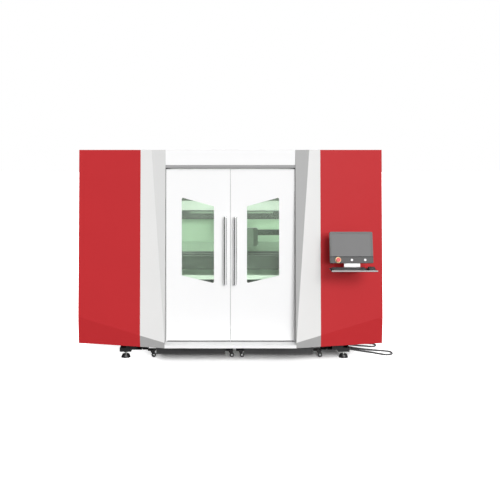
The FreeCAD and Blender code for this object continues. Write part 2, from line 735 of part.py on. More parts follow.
def slats():
    """Upright slats on edge; the top edge of each is a row of sharp teeth."""
    left = number("bed_left + bed_beam + 0.5")
    length = number("bed_right - bed_left - 2 * bed_beam - 1")
    pitch = number("tooth_pitch")
    top = number("slat_top")
    valley = top - number("tooth_height")
    bottom = top - number("slat_depth")
    count = int(length // pitch)
    margin = (length - count * pitch) / 2
    points = [Vector(left, 0, bottom), Vector(left, 0, valley)]
    for i in range(count):
        start = left + margin + i * pitch
        points.append(Vector(start, 0, valley))
        points.append(Vector(start + pitch / 2, 0, top))
    points.append(Vector(left + margin + count * pitch, 0, valley))
    points += [Vector(left + length, 0, valley), Vector(left + length, 0, bottom)]
    one = plate(points, Vector(0, number("slat_thickness"), 0))
    copies = []
    for i in range(int(number("slat_count"))):
        copy = one.copy()
        copy.translate(Vector(0, number("bed_front + bed_beam + slat_start") +
                              i * number("slat_pitch"), 0))
        copies.append(copy)
    made = doc.addObject("Part::Feature", "slats")
    made.Shape = Part.makeCompound(copies)
    return node(made, "bed_slats")


def loft(body, kind, wide, narrow):
    """A straight loft between two rectangles: (plane height, left, right, front, back)."""
    sections = []
    for height, left, right, front, back in (wide, narrow):
        made = new_sketch(body, "XY", height)
        rectangle(made, left, right, front, back)
        sections.append(made)
    feature = body.newObject("PartDesign::" + kind, "loft")
    feature.Profile = sections[0]
    feature.Sections = [sections[1]]
    feature.Ruled = True
    return feature


def hopper():
    """Open sheet funnel that leads scrap from the bed down to the carts."""
    body = new_body("hopper")
    gap = 0.5
    wall = "sheet_wall"
    left, right = "bed_left + bed_beam + %s" % gap, "bed_right - bed_beam - %s" % gap
    front, back = "bed_front + bed_beam + %s" % gap, BED_BACK + " - bed_beam - %s" % gap
    top, low, taper = "bed_beam_bottom + 30", "hopper_outlet", "hopper_taper"
    loft(body, "AdditiveLoft", (top, left, right, front, back),
         (low, "%s + %s" % (left, taper), "%s - %s" % (right, taper),
          "%s + %s" % (front, taper), "%s - %s" % (back, taper)))
    loft(body, "SubtractiveLoft",
         (top, "%s + %s" % (left, wall), "%s - %s" % (right, wall),
          "%s + %s" % (front, wall), "%s - %s" % (back, wall)),
         (low, "%s + %s + %s" % (left, taper, wall), "%s - %s - %s" % (right, taper, wall),
          "%s + %s + %s" % (front, taper, wall), "%s - %s - %s" % (back, taper, wall)))
    return node(body, "scrap_hopper")


REAR_FACE = "(bed_front + bed_depth - bed_beam)"
REAR_RAILS = ("(rear_beam_bottom + rear_rail_inset)", "(rear_beam_top - rear_rail_inset)")


def rear_beam():
    """Box section beam behind the bed that guides the gantry and carries the chain ledge."""
    made = tube("rear_guide", "bed_left", "bed_right", REAR_FACE, BED_BACK, "rear_beam_bottom",
                "rear_beam_top", "X", "gantry_wall")
    return node(fuse("rear_beam_set", [made, chain_tray()]), "rear_guide_beam")


def guide_rails():
    """Three hardened rails: one on the front beam, two on the face of the rear beam."""
    middle = "(bed_front + bed_beam / 2)"
    made = [box("front_rail", "bed_left", "bed_right", "%s - rail_width / 2" % middle,
                "%s + rail_width / 2" % middle, "bed_beam_top", RAIL_TOP)]
    for height in REAR_RAILS:
        made.append(box("rear_rail", "bed_left", "bed_right", "%s - rail_height" % REAR_FACE,
                        REAR_FACE, "%s - rail_width / 2" % height,
                        "%s + rail_width / 2" % height))
    return node(group("rails", made), "x_guide_rails")


def chain_tray():
    """Folded ledge behind the rear beam that the energy chain lies in."""
    body = new_body("tray")
    pad(body, "YZ", "bed_left", "hanger_x + bracket_width / 2", (outline, ([
        (BED_BACK, "tray_low - tray_drop"), (BED_BACK + " + tray_wall", "tray_low - tray_drop"),
        (BED_BACK + " + tray_wall", "tray_low"),
        (BED_BACK + " + tray_reach", "tray_low"),
        (BED_BACK + " + tray_reach", "tray_low + tray_wall"),
        (BED_BACK, "tray_low + tray_wall")],)))
    return body


def energy_chain():
    """Cable chain folded once: a lower run, a half-round bend and an upper run."""
    height = number("chain_height")
    width = number("chain_width")
    pitch = number("chain_pitch")
    bend = number("chain_bend")
    front = number(BED_BACK + " + chain_setback")
    low = number("tray_low + tray_wall")
    right = number("hanger_x")
    centre_x = number("bed_left") + bend + height
    centre_z = low + height / 2 + bend
    neck = number("chain_gap")
    pieces = []
    for level in (low, low + 2 * bend):
        pieces.append(Part.makeBox(right - centre_x, width - neck, height - neck,
                                   Vector(centre_x, front + neck / 2, level + neck / 2)))
        for i in range(int((right - centre_x) // pitch)):
            pieces.append(Part.makeBox(pitch - neck, width, height,
                                       Vector(right - (i + 1) * pitch + neck, front, level)))
    outer, inner = bend + height / 2 - neck / 2, bend - height / 2 + neck / 2
    axis = Vector(0, 1, 0)
    spot = Vector(centre_x, front + neck / 2, centre_z)
    ring = Part.makeCylinder(outer, width - neck, spot, axis)
    ring = ring.cut(Part.makeCylinder(inner, width - neck, spot, axis))
    half = Part.makeBox(outer + 1, width, 2 * outer + 2,
                        Vector(centre_x - outer - 1, front, centre_z - outer - 1))
    pieces.append(ring.common(half))
    made = doc.addObject("Part::Feature", "chain")
    made.Shape = pieces[0].multiFuse(pieces[1:]).removeSplitter().Solids[0]
    return node(made, "energy_chain")


bed()
slats()
hopper()
rear_beam()
guide_rails()
energy_chain()


# ---------------------------------------------------------------- gantry and cutting head
PLATE_BACK = "(bed_front + bed_depth - bed_beam - rail_height - slide_gap - block_height)"
FOOT_Y = "(bed_front + bed_beam / 2)"
BLOCK_TOP = "(bed_beam_top + rail_height + slide_gap + block_height)"
FOOT_LEFT = "(gantry_x - gantry_width / 2 - foot_width)"


def gantry():
    """Low box beam from front to back, with a foot over the front rail and a rear hanger."""
    made = [
        tube("gantry", GANTRY_LEFT, GANTRY_RIGHT, "gantry_front", PLATE_BACK,
             "gantry_bottom", "gantry_top", "Y", "gantry_wall"),
        box("end_plate", "cover_left", GANTRY_RIGHT, "gantry_front",
            "gantry_front + bracket_wall", "gantry_bottom", "cover_top"),
        box("hanger", "hanger_x - bracket_width / 2", "hanger_x + bracket_width / 2",
            "%s - bracket_wall" % PLATE_BACK, PLATE_BACK, "gantry_bottom",
            "rear_beam_top + hanger_rise"),
        box("root", GANTRY_LEFT, GANTRY_RIGHT, "%s - bracket_wall" % PLATE_BACK, PLATE_BACK,
            "gantry_bottom", "gantry_top"),
        box("foot", FOOT_LEFT, GANTRY_LEFT, "%s - block_width / 2" % FOOT_Y,
            "%s + block_width / 2" % FOOT_Y, BLOCK_TOP, "gantry_top"),
        box("chain_arm", "hanger_x - chain_arm_width / 2", "hanger_x + chain_arm_width / 2",
            "%s - bracket_wall" % PLATE_BACK,
            BED_BACK + " + chain_setback + chain_width", "rear_beam_top + chain_arm_gap",
            "rear_beam_top + chain_arm_gap + bracket_wall"),
        cable_arm(),
    ]
    return node(fuse("gantry_weldment", made + gantry_bearings() + side_rails()), "gantry_beam")


def gantry_bearings():
    """Bearing blocks that ride on the three rails."""
    made = [box("front_block", FOOT_LEFT, GANTRY_LEFT,
                "%s - block_width / 2" % FOOT_Y, "%s + block_width / 2" % FOOT_Y,
                "%s + slide_gap" % RAIL_TOP, BLOCK_TOP)]
    for side in (-1, 1):
        centre = "(hanger_x + (%s) * (bracket_width - block_length) / 2)" % side
        for height in REAR_RAILS:
            made.append(box("rear_block", "%s - block_length / 2" % centre,
                            "%s + block_length / 2" % centre, PLATE_BACK,
                            "%s + block_height" % PLATE_BACK,
                            "%s - block_width / 2" % height, "%s + block_width / 2" % height))
    return made


def end_cover():
    """Rounded cap over the front end of the gantry, bevelled towards the right."""
    body = new_body("cover")
    front = "gantry_front - cover_length"
    pad(body, "XZ", front, "gantry_front",
        (rectangle, ("cover_left", GANTRY_RIGHT, "gantry_bottom", "cover_top")))
    fillet(body, "cover_corner", Y_AXIS)
    pocket(body, "XY", "gantry_bottom - 1", "cover_top + 1", (outline, ([
        ("%s - cover_bevel" % GANTRY_RIGHT, front), (GANTRY_RIGHT, front),
        (GANTRY_RIGHT, "%s + cover_bevel_depth" % front)],)))
    pocket(body, "XZ", front + " + sheet_wall", "gantry_front",
           (rectangle, ("cover_left + cover_corner",
                        "%s - cover_bevel - cover_corner" % GANTRY_RIGHT,
                        "gantry_bottom + cover_corner", "cover_top - cover_corner")))
    return node(body, "gantry_end_cover")


def cable_arm():
    """Channel that carries cables out to the right of the gantry's front end."""
    body = new_body("arm")
    back = "gantry_front + cable_arm_depth"
    pad(body, "YZ", GANTRY_RIGHT, "%s + cable_arm_length" % GANTRY_RIGHT, (outline, ([
        ("gantry_front", "cable_arm_low"), (back, "cable_arm_low"),
        (back, "cable_arm_low + sheet_wall"),
        ("gantry_front + sheet_wall", "cable_arm_low + sheet_wall"),
        ("gantry_front + sheet_wall", "cable_arm_high - sheet_wall"),
        (back, "cable_arm_high - sheet_wall"), (back, "cable_arm_high"),
        ("gantry_front", "cable_arm_high")],)))
    return body


SIDE_RAILS = ("(gantry_bottom + side_rail_inset)", "(gantry_top - side_rail_inset)")
BLOCK_LEFT = "(gantry_x - gantry_width / 2 - rail_height - slide_gap - block_height)"
CARRIAGE_LEFT = ("(gantry_x - gantry_width / 2 - rail_height - slide_gap - block_height"
                 " - carriage_wall)")
SLIDE_LEFT = CARRIAGE_LEFT[:-1] + " - slide_gap - slide_wall)"
CARRIAGE_Y = "(carriage_front + carriage_length / 2)"


def side_rails():
    """Two rails along the gantry's left face for the head carriage."""
    made = []
    for height in SIDE_RAILS:
        made.append(box("side_rail", "%s - rail_height" % GANTRY_LEFT, GANTRY_LEFT,
                        "gantry_front + side_rail_start", "%s - bracket_wall" % PLATE_BACK,
                        "%s - rail_width / 2" % height, "%s + rail_width / 2" % height))
    return made


def carriage():
    """Plate with four bearing blocks that runs along the gantry."""
    made = [box("carriage_plate", CARRIAGE_LEFT, BLOCK_LEFT, "carriage_front",
                "carriage_front + carriage_length", "carriage_low", "carriage_high")]
    for front in ("carriage_front", "carriage_front + carriage_length - block_length"):
        for height in SIDE_RAILS:
            made.append(box("block", BLOCK_LEFT, "%s + block_height" % BLOCK_LEFT, front,
                            "%s + block_length" % front, "%s - side_block_width / 2" % height,
                            "%s + side_block_width / 2" % height))
    return node(fuse("carriage_set", made), "head_carriage")


def servo_motor(name, left, front, low):
    """Square servo motor lying along X with a round encoder cap."""
    body = new_body(name)
    middle_y = "%s + motor_size / 2" % front
    middle_z = "%s + motor_size / 2" % low
    pad(body, "YZ", left, "%s + motor_length" % left,
        (rectangle, (front, "%s + motor_size" % front, low, "%s + motor_size" % low)))
    fillet(body, "soft_corner", X_AXIS)
    pad(body, "YZ", "%s - motor_cap" % left, left,
        (circle, (middle_y, middle_z, "motor_size * 0.8")))
    return node(body, name)


def slide():
    """Upright slide plate with the clamp that holds the cutting head."""
    axis_x = "(%s - head_gap - head_diameter / 2)" % SLIDE_LEFT
    plate_part = box("slide_plate", SLIDE_LEFT, "%s + slide_wall" % SLIDE_LEFT,
                     "%s - slide_width / 2" % CARRIAGE_Y, "%s + slide_width / 2" % CARRIAGE_Y,
                     "slide_low", "slide_high")
    clamp_low, clamp_high = "slide_low + clamp_rise", "slide_low + clamp_rise + clamp_height"
    clamp = box("clamp", "%s - head_diameter / 2 - clamp_wall" % axis_x, SLIDE_LEFT,
                "%s - head_diameter / 2 - clamp_wall" % CARRIAGE_Y,
                "%s + head_diameter / 2 + clamp_wall" % CARRIAGE_Y, clamp_low, clamp_high)
    bore = rod("clamp_bore", axis_x, CARRIAGE_Y, clamp_low + " - 1", clamp_high + " + 1",
               "head_diameter")
    return node(cut("slide_cut", fuse("slide_set", [plate_part, clamp]), bore), "z_slide")


def cutting_head():
    """Round laser head that narrows to a copper nozzle."""
    body = new_body("head")
    axis_x = "(%s - head_gap - head_diameter / 2)" % SLIDE_LEFT
    tip = "(slat_top + nozzle_gap)"
    made = body.newObject("Sketcher::SketchObject", "profile")
    base = [item for item in body.Origin.OriginFeatures if item.Role == "XZ_Plane"][0]
    made.AttachmentSupport = [(base, "")]
    made.MapMode = "FlatFace"
    outline(made, [
        ("0", tip), ("nozzle_tip / 2", tip), ("nozzle_tip", tip + " + nozzle_length / 2"),
        ("nozzle_tip * 1.5", tip + " + nozzle_length / 2"),
        ("nozzle_tip * 1.5", "head_low - 10"), ("head_diameter / 2", "head_low + 10"),
        ("head_diameter / 2", "slide_high + 20"), ("head_diameter / 4", "slide_high + 36"),
        ("0", "slide_high + 36")])
    feature = body.newObject("PartDesign::Revolution", "turned")
    feature.Profile = made
    feature.ReferenceAxis = (made, ["V_Axis"])
    feature.Angle = 360
    holder = doc.addObject("Part::Compound", "head_place")
    holder.Links = [body]
    node(holder, "cutting_head")
    bind(holder, "Placement.Base.x", axis_x)
    bind(holder, "Placement.Base.y", "%s + %s" % (FRONT_Y, CARRIAGE_Y))
    return holder


gantry()
end_cover()
servo_motor("x_drive_motor", "(hanger_x - bracket_width / 2 + motor_inset)",
            "%s - bracket_wall - motor_size" % PLATE_BACK, "rear_beam_bottom")
carriage()
slide()
cutting_head()


# ---------------------------------------------------------------- doors
def window_points(grow):
    """The window's slanted outline, made larger all round by a length."""
    inner, outer = "window_inner - %s" % grow, "window_outer + %s" % grow
    return [(inner, "window_bottom_inner - %s" % grow), (outer, "window_bottom_outer - %s" % grow),
            (outer, "window_top_outer + %s" % grow), (inner, "window_top_inner + %s" % grow)]


def door():
    """Folded door pan with a window cut-out and solid blocks for the pivots."""
    body = new_body("door")
    wall = "door_wall"
    left, right = "seam_gap / 2", DOOR_EDGE
    pad(body, "XZ", "door_front", DOOR_BACK, (rectangle, (left, right, DOOR_BOTTOM, DOOR_TOP)))
    block = "%s - pivot_block" % right
    low, high = "%s + pivot_block" % DOOR_BOTTOM, "%s - pivot_block" % DOOR_TOP
    pocket(body, "XZ", "door_front + %s" % wall, DOOR_BACK, (outline, ([
        ("%s + %s" % (left, wall), "%s + %s" % (DOOR_BOTTOM, wall)),
        (block, "%s + %s" % (DOOR_BOTTOM, wall)), (block, low), ("%s - %s" % (right, wall), low),
        ("%s - %s" % (right, wall), high), (block, high),
        (block, "%s - %s" % (DOOR_TOP, wall)), ("%s + %s" % (left, wall),
                                                "%s - %s" % (DOOR_TOP, wall))],)))
    pocket(body, "XZ", "door_front - 1", "door_front + %s + 1" % wall,
           (outline, (window_points("0"),)))
    inside = number("seam_gap / 2 + door_wall + 20")
    fillet(body, "window_corner", Y_AXIS,
           lambda spot: inside < spot.x < number("window_outer") + 1
           and spot.y < number("door_front + door_wall")
           and number(DOOR_BOTTOM + " + window_margin") < spot.z
           < number(DOOR_TOP + " - window_margin"))
    pocket(body, "XY", DOOR_BOTTOM, "%s + pivot_depth" % DOOR_BOTTOM,
           (circle, (PIVOT_X, PIVOT_Y, "pivot_diameter")))
    pocket(body, "XY", "%s - pivot_depth" % DOOR_TOP, DOOR_TOP,
           (circle, (PIVOT_X, PIVOT_Y, "pivot_diameter")))
    return node(body, "right_door_panel")


def pane():
    """Green safety glass seated behind the window cut-out."""
    body = new_body("pane")
    start = "door_front + door_wall"
    pad(body, "XZ", start, "%s + pane_thickness" % start,
        (outline, (window_points("pane_overlap"),)))
    fillet(body, "window_corner + pane_overlap / 2", Y_AXIS)
    return node(body, "right_door_window")


def rounded_rod(name, length, diameter, softness):
    """A round bar with rounded ends, standing at its own origin."""
    bar = doc.addObject("Part::Cylinder", name)
    bind(bar, "Radius", "(%s) / 2" % diameter)
    bind(bar, "Height", length)
    doc.recompute()
    made = doc.addObject("Part::Fillet", name + "_rounded")
    made.Base = bar
    ends = [i for i, edge in enumerate(bar.Shape.Edges, start=1)
            if edge.Curve.TypeId == "Part::GeomCircle"]
    made.Edges = [(i, number(softness), number(softness)) for i in ends]
    return made


def handle():
    """Tubular pull bar on two posts."""
    bar_y = "door_front - handle_standoff"
    bar = rounded_rod("bar", "handle_top - handle_bottom", "handle_diameter",
                      "handle_diameter / 6")
    bind(bar, "Placement.Base.x", "handle_offset")
    bind(bar, "Placement.Base.y", bar_y)
    bind(bar, "Placement.Base.z", "handle_bottom")
    made = [bar]
    for height in ("post_low", "post_high"):
        post = rod("post", "handle_offset", bar_y, height, "%s + handle_standoff" % height,
                   "post_diameter")
        made.append(turned(post, X_AXIS, -90))
    return node(fuse("handle_set", made), "right_door_handle")


def pivots():
    """Collared pins that the doors turn on, two below and two above."""
    made = []
    for side in ("", "-"):
        x = "%s(%s)" % (side, PIVOT_X)
        low_pin = rod("pin", x, PIVOT_Y, "sill_top - pivot_depth",
                      "%s + pivot_depth - 1" % DOOR_BOTTOM, PIN)
        low_ring = rod("ring", x, PIVOT_Y, "sill_top", "%s - slide_gap" % DOOR_BOTTOM,
                       "pivot_diameter * 1.8")
        made.append(fuse("lower_pivot", [low_pin, low_ring]))
        high_pin = rod("pin", x, PIVOT_Y, "%s - pivot_depth + 1" % DOOR_TOP,
                       "trim_bottom + pivot_depth", PIN)
        high_ring = rod("ring", x, PIVOT_Y, "%s + slide_gap" % DOOR_TOP, "trim_bottom",
                        "pivot_diameter * 1.8")
        made.append(fuse("upper_pivot", [high_pin, high_ring]))
    return node(group("pivots", made), "door_pivots")


mirrored(door(), "left_door_panel")
mirrored(pane(), "left_door_window")
mirrored(handle(), "left_door_handle")
pivots()


# ---------------------------------------------------------------- control console
def console_piece(thing, label):
    """Place a piece that is drawn in the console's own tilted frame.

    There x is from the middle, y is back from the front plate and z is up along it.
    """
    holder = doc.addObject("Part::Compound", "console_place")
    holder.Links = [thing]
    node(holder, label)
    holder.Placement.Rotation = Rotation(X_AXIS, -number("console_tilt"))
    bind(holder, "Placement.Base.x", "console_centre")
    bind(holder, "Placement.Base.y", "%s - console_front" % FRONT_Y)
    bind(holder, "Placement.Base.z", "console_bottom")
    return holder


BUTTONS = (("estop_button", "estop_offset", "estop_neck"),
           ("start_button", "button_one_offset", "button_diameter * 0.6"),
           ("pause_button", "button_two_offset", "button_diameter * 0.6"))


def housing():
    """Slim tilted control box with a recessed screen and three button holes."""
    body = new_body("housing")
    half = "console_width / 2"
    pad(body, "XZ", "0", "console_thickness",
        (rectangle, ("-(%s)" % half, half, "0", "console_length")))
    fillet(body, "console_corner", Y_AXIS)
    pocket(body, "XZ", "0", "screen_recess + screen_glass", (rectangle, (
        "screen_inset - %s" % half, "%s - screen_inset" % half, "screen_start",
        "console_length - screen_inset")))
    for name, offset, neck in BUTTONS:
        pocket(body, "XZ", "0", "console_thickness - console_back_wall",
               (circle, (offset, "button_row", "%s + 2 * bore_gap" % neck)))
    return console_piece(fuse("housing_set", [body] + button_rings()), "console_housing")


def screen():
    """Flat screen glass at the bottom of its recess."""
    half = "console_width / 2"
    made = box("screen", "screen_inset - %s + 0.2" % half, "%s - screen_inset - 0.2" % half,
               "screen_recess", "screen_recess + screen_glass", "screen_start + 0.2",
               "console_length - screen_inset - 0.2")
    return console_piece(made, "console_screen")


def lying(name, x, z, front, back, diameter):
    """A round piece along the console's y axis."""
    made = rod(name, x, front, z, "%s + (%s) - (%s)" % (z, back, front), diameter)
    return turned(made, X_AXIS, -90)


def estop():
    """Red mushroom cap on a neck that slides in the housing."""
    x, z = "estop_offset", "button_row"
    cap_back = "-(estop_travel + 6)"
    made = fuse("estop_set", [
        lying("cap", x, z, "%s - 16" % cap_back, cap_back, "estop_cap"),
        lying("neck", x, z, "%s - 2" % cap_back,
              "console_thickness - console_back_wall - estop_travel - 2", "estop_neck")])
    return console_piece(made, "estop_button")


def push_button(name, offset):
    """Small round push button."""
    x, z = offset, "button_row"
    made = fuse("button_set", [
        lying("cap", x, z, "-(button_travel + 6)", "-(button_travel + 1.5)", "button_diameter"),
        lying("stem", x, z, "-(button_travel + 3)",
              "console_thickness - console_back_wall - button_travel - 2",
              "button_diameter * 0.6")])
    return console_piece(made, name)


def button_rings():
    """Collars round the three buttons: a wide yellow one and two plain ones."""
    made = []
    for name, offset, neck in BUTTONS:
        wide = "estop_ring" if name == "estop_button" else "button_ring"
        made.append(cut("ring_cut",
                        lying("ring", offset, "button_row", "-1", "0", wide),
                        lying("hole", offset, "button_row", "-2", "1",
                              "%s + 2 * bore_gap" % neck)))
    return made


def arm():
    """Fixed tapered arm from the right front shell; its neck rises behind the tray."""
    half = "arm_width / 2"
    body = new_body("arm")
    low = "(tray_top - tray_plate - arm_height)"
    top = "(tray_top - tray_plate)"
    face = "(face_sweep * (neck_centre %s " + half + " - " + OPENING + ") + face_lean * (" \
        + low + " - chin_inner_height))"
    pad(body, "XY", low, top, (outline, ([
        ("neck_centre - %s" % half, "arm_front"), ("neck_centre + %s" % half, "arm_front"),
        ("neck_centre + %s" % half, face % "+"), ("neck_centre - %s" % half, face % "-")],)))
    pocket(body, "YZ", "neck_centre - %s - 1" % half, "neck_centre + %s + 1" % half,
           (outline, ([("arm_front - 1", low + " - 1"), ("arm_root", low + " - 1"),
                       ("arm_root", low), ("arm_front - 1", top + " - arm_tip")],)))
    back_y = "(console_thickness / cos(console_tilt) - console_front)"
    meet = "console_bottom + (%s - %s) / tan(console_tilt)"
    front, back = "neck_front", "(neck_front + neck_depth)"
    pad(body, "YZ", "neck_centre - neck_width / 2", "neck_centre + neck_width / 2",
        (outline, ([(front, top), (back, top), (back, meet % (back, back_y)),
                    (front, meet % (front, back_y))],)))
    return node(body, "console_arm")


def keyboard_tray():
    """Plate on the arm, with a front lip."""
    body = new_body("keyboard_tray")
    right = "tray_left + tray_width"
    pad(body, "XY", "tray_top - tray_plate", "tray_top",
        (rectangle, ("tray_left", right, "-console_reach", "tray_back")))
    pad(body, "XY", "tray_top", "tray_top + tray_lip",
        (rectangle, ("tray_left", right, "-console_reach", "3 - console_reach")))
    return node(body, "keyboard_tray")


def keyboard():
    """Low keyboard: a wedge body with rows of keys."""
    body = new_body("keyboard")
    left, front = "(tray_left + 14)", "(10 - console_reach)"
    right, back = "(tray_left + 14 + keyboard_width)", "(10 - console_reach + keyboard_depth)"
    top = "tray_top + keyboard_height"
    pad(body, "YZ", left, right, (outline, ([
        (front, "tray_top"), (back, "tray_top"), (back, top), (front, "%s - 7" % top)],)))
    return node(body, "keyboard")


def mouse():
    """Rounded mouse beside the keyboard."""
    body = new_body("mouse")
    middle = "(tray_left + tray_width - 46)"
    front = "(30 - console_reach)"
    pad(body, "YZ", "%s - mouse_width / 2" % middle, "%s + mouse_width / 2" % middle, (outline, ([
        (front, "tray_top"), ("%s + mouse_length" % front, "tray_top"),
        ("%s + mouse_length" % front, "tray_top + mouse_height * 0.5"),
        ("%s + mouse_length * 0.7" % front, "tray_top + mouse_height"),
        ("%s + mouse_length * 0.4" % front, "tray_top + mouse_height * 0.95"),
        (front, "tray_top + mouse_height * 0.4")],)))
    fillet(body, "mouse_width / 6", Z_AXIS)
    return node(body, "mouse")


housing()
screen()
estop()
push_button("start_button", "button_one_offset")
push_button("pause_button", "button_two_offset")
arm()
keyboard_tray()
keyboard()
mouse()


# ---------------------------------------------------------------- cabinets inside the wings
def inner_cabinet(name, left, width, depth, height, back):
    """Closed steel cabinet on the cross tubes, with a shallow door pressing."""
    body = new_body(name)
    front = "%s - %s" % (back, depth)
    pad(body, "XZ", front, back,
        (rectangle, (left, "%s + %s" % (left, width), FLOOR_TOP, "%s + %s" % (FLOOR_TOP, height))))
    fillet(body, "soft_corner", Z_AXIS)
    pocket(body, "XZ", front, "%s + door_pressing" % front,
           (rectangle, ("%s + 30" % left, "%s + %s - 30" % (left, width), FLOOR_TOP + " + 40",
                        "%s + %s - 40" % (FLOOR_TOP, height))))
    return node(body, name)


inner_cabinet("control_cabinet", "liner_side + cabinet_aisle", "electrics_width", "electrics_depth",
              "electrics_height", BED_BACK)
inner_cabinet("laser_source", "-(liner_side + cabinet_aisle + source_width)", "source_width",
              "source_depth", "source_height", BED_BACK)


# ---------------------------------------------------------------- scrap carts
def cart(name, centre):
    """Low open bin with corner ears for casters in front and fixed wheels behind."""
    body = new_body(name)
    half = "cart_width / 2"
    left, right = "%s - %s" % (centre, half), "%s + %s" % (centre, half)
    back = "(cart_front + cart_length)"
    wall = "cart_wall"
    pad(body, "XY", "cart_bottom", "cart_top", (rectangle, (left, right, "cart_front", back)))
    pocket(body, "XY", "cart_bottom + %s" % wall, "cart_top", (rectangle, (
        "%s + %s" % (left, wall), "%s - %s" % (right, wall), "cart_front + %s" % wall,
        "%s - %s" % (back, wall))))
    top = "caster_height + ear_thickness"
    axle_y = "%s + rear_axle_setback" % back
    for edge, way in ((left, "-"), (right, "+")):
        reach = "%s %s ear_reach" % (edge, way)
        low_x, high_x = (reach, edge) if way == "-" else (edge, reach)
        pad(body, "XY", "caster_height", top, (rectangle, (
            low_x, high_x, "cart_front - ear_front", "cart_front + ear_overlap")))
        pocket(body, "XY", "caster_height", top, (circle, (
            "%s %s caster_offset" % (edge, way), "cart_front - caster_setback",
            "kingpin_diameter")))
        pad(body, "XY", "caster_height", top, (rectangle, (
            low_x, high_x, "%s - ear_overlap" % back, "%s + 28" % axle_y)))
        lug = "(%s %s lug_offset)" % (edge, way)
        pad(body, "YZ", "%s - lug_wall / 2" % lug, "%s + lug_wall / 2" % lug, (rectangle, (
            "%s - 14" % axle_y, "%s + 14" % axle_y, "wheel_diameter / 2 - 12",
            "caster_height")))
        pocket(body, "YZ", "%s - lug_wall" % lug, "%s + lug_wall" % lug, (circle, (
            axle_y, "wheel_diameter / 2", "rear_axle_diameter")))
    return node(body, name)


def caster_fork(name, x):
    """Swivel fork whose kingpin turns in the cart's ear; the axle trails behind it."""
    body = new_body(name)
    y = "(cart_front - caster_setback)"
    cheek = "(wheel_width / 2 + fork_gap)"
    outer = "(wheel_width / 2 + fork_gap + fork_wall)"
    axle_x, axle_z = "(%s + caster_trail)" % x, "wheel_diameter / 2"
    crown = "(caster_height - slide_gap)"
    pad(body, "XY", "%s - 4" % crown, crown, (rectangle, (
        "%s - 15" % x, "%s + 10" % axle_x, "%s - %s" % (y, outer), "%s + %s" % (y, outer))))
    for low, high in (("-" + outer, "-" + cheek), (cheek, outer)):
        pad(body, "XZ", "%s + %s" % (y, low), "%s + %s" % (y, high), (outline, ([
            ("%s - 12" % x, "%s - 4" % crown), ("%s - 9" % axle_x, "%s - 3" % axle_z),
            ("%s - 4" % axle_x, "%s - 9" % axle_z), ("%s + 4" % axle_x, "%s - 9" % axle_z),
            ("%s + 9" % axle_x, "%s - 3" % axle_z), ("%s + 9" % axle_x, "%s - 4" % crown)],)))
    pad(body, "XZ", "%s - %s" % (y, outer), "%s + %s" % (y, outer),
        (circle, (axle_x, axle_z, "axle_diameter - 2 * caster_clearance")))
    pad(body, "XY", "%s - 4" % crown, "caster_height + ear_thickness + 5",
        (circle, (x, y, "kingpin_diameter - 2 * caster_clearance")))
    pad(body, "XY", "caster_height + ear_thickness + slide_gap",
        "caster_height + ear_thickness + 5", (circle, (x, y, "kingpin_diameter * 1.6")))
    return node(body, name)


def round_tread(body):
    """Round the two outer edges of a wheel's tread."""
    doc.recompute()
    base = body.Tip
    radius = number("wheel_diameter / 2")
    rims = ["Edge%d" % i for i, edge in enumerate(base.Shape.Edges, start=1)
            if edge.Curve.TypeId == "Part::GeomCircle" and abs(edge.Curve.Radius - radius) < 1e-6]
    feature = body.newObject("PartDesign::Fillet", "tread")
    feature.Base = (base, rims)
    bind(feature, "Radius", "tread_round")


def caster_wheel(name, x):
    """Solid wheel with a hub bore, dished on both faces."""
    body = new_body(name)
    y = "(cart_front - caster_setback)"
    axle_x, axle_z = "(%s + caster_trail)" % x, "wheel_diameter / 2"
    pad(body, "XZ", "%s - wheel_width / 2" % y, "%s + wheel_width / 2" % y,
        (circle, (axle_x, axle_z, "wheel_diameter")))
    round_tread(body)
    pocket(body, "XZ", "%s - wheel_width" % y, "%s + wheel_width" % y,
           (circle, (axle_x, axle_z, "axle_diameter")))
    return node(body, name)


def wheelset(name, centre):
    """Rear axle with a wheel fixed near each end, turning in the cart's lugs."""
    body = new_body(name)
    axle_y, axle_z = "(cart_front + cart_length + rear_axle_setback)", "wheel_diameter / 2"
    half = "(cart_width / 2 + caster_offset + wheel_width / 2)"
    for side in ("-", "+"):
        middle = "(%s %s (cart_width / 2 + caster_offset))" % (centre, side)
        pad(body, "YZ", "%s - wheel_width / 2" % middle, "%s + wheel_width / 2" % middle,
            (circle, (axle_y, axle_z, "wheel_diameter")))
        if side == "-":
            pad(body, "YZ", "%s - %s" % (centre, half), "%s + %s" % (centre, half),
                (circle, (axle_y, axle_z, "rear_axle_diameter - 2 * caster_clearance")))
    round_tread(body)
    return node(body, name)


for side, centre in (("left", "cart_left"), ("right", "cart_right")):
    cart(side + "_scrap_cart", centre)
    for end, way in (("left", "-"), ("right", "+")):
        kingpin_x = "(%s %s (cart_width / 2 + caster_offset))" % (centre, way)
        caster_fork("%s_cart_%s_fork" % (side, end), kingpin_x)
        caster_wheel("%s_cart_%s_wheel" % (side, end), kingpin_x)
    wheelset(side + "_cart_rear_wheels", centre)


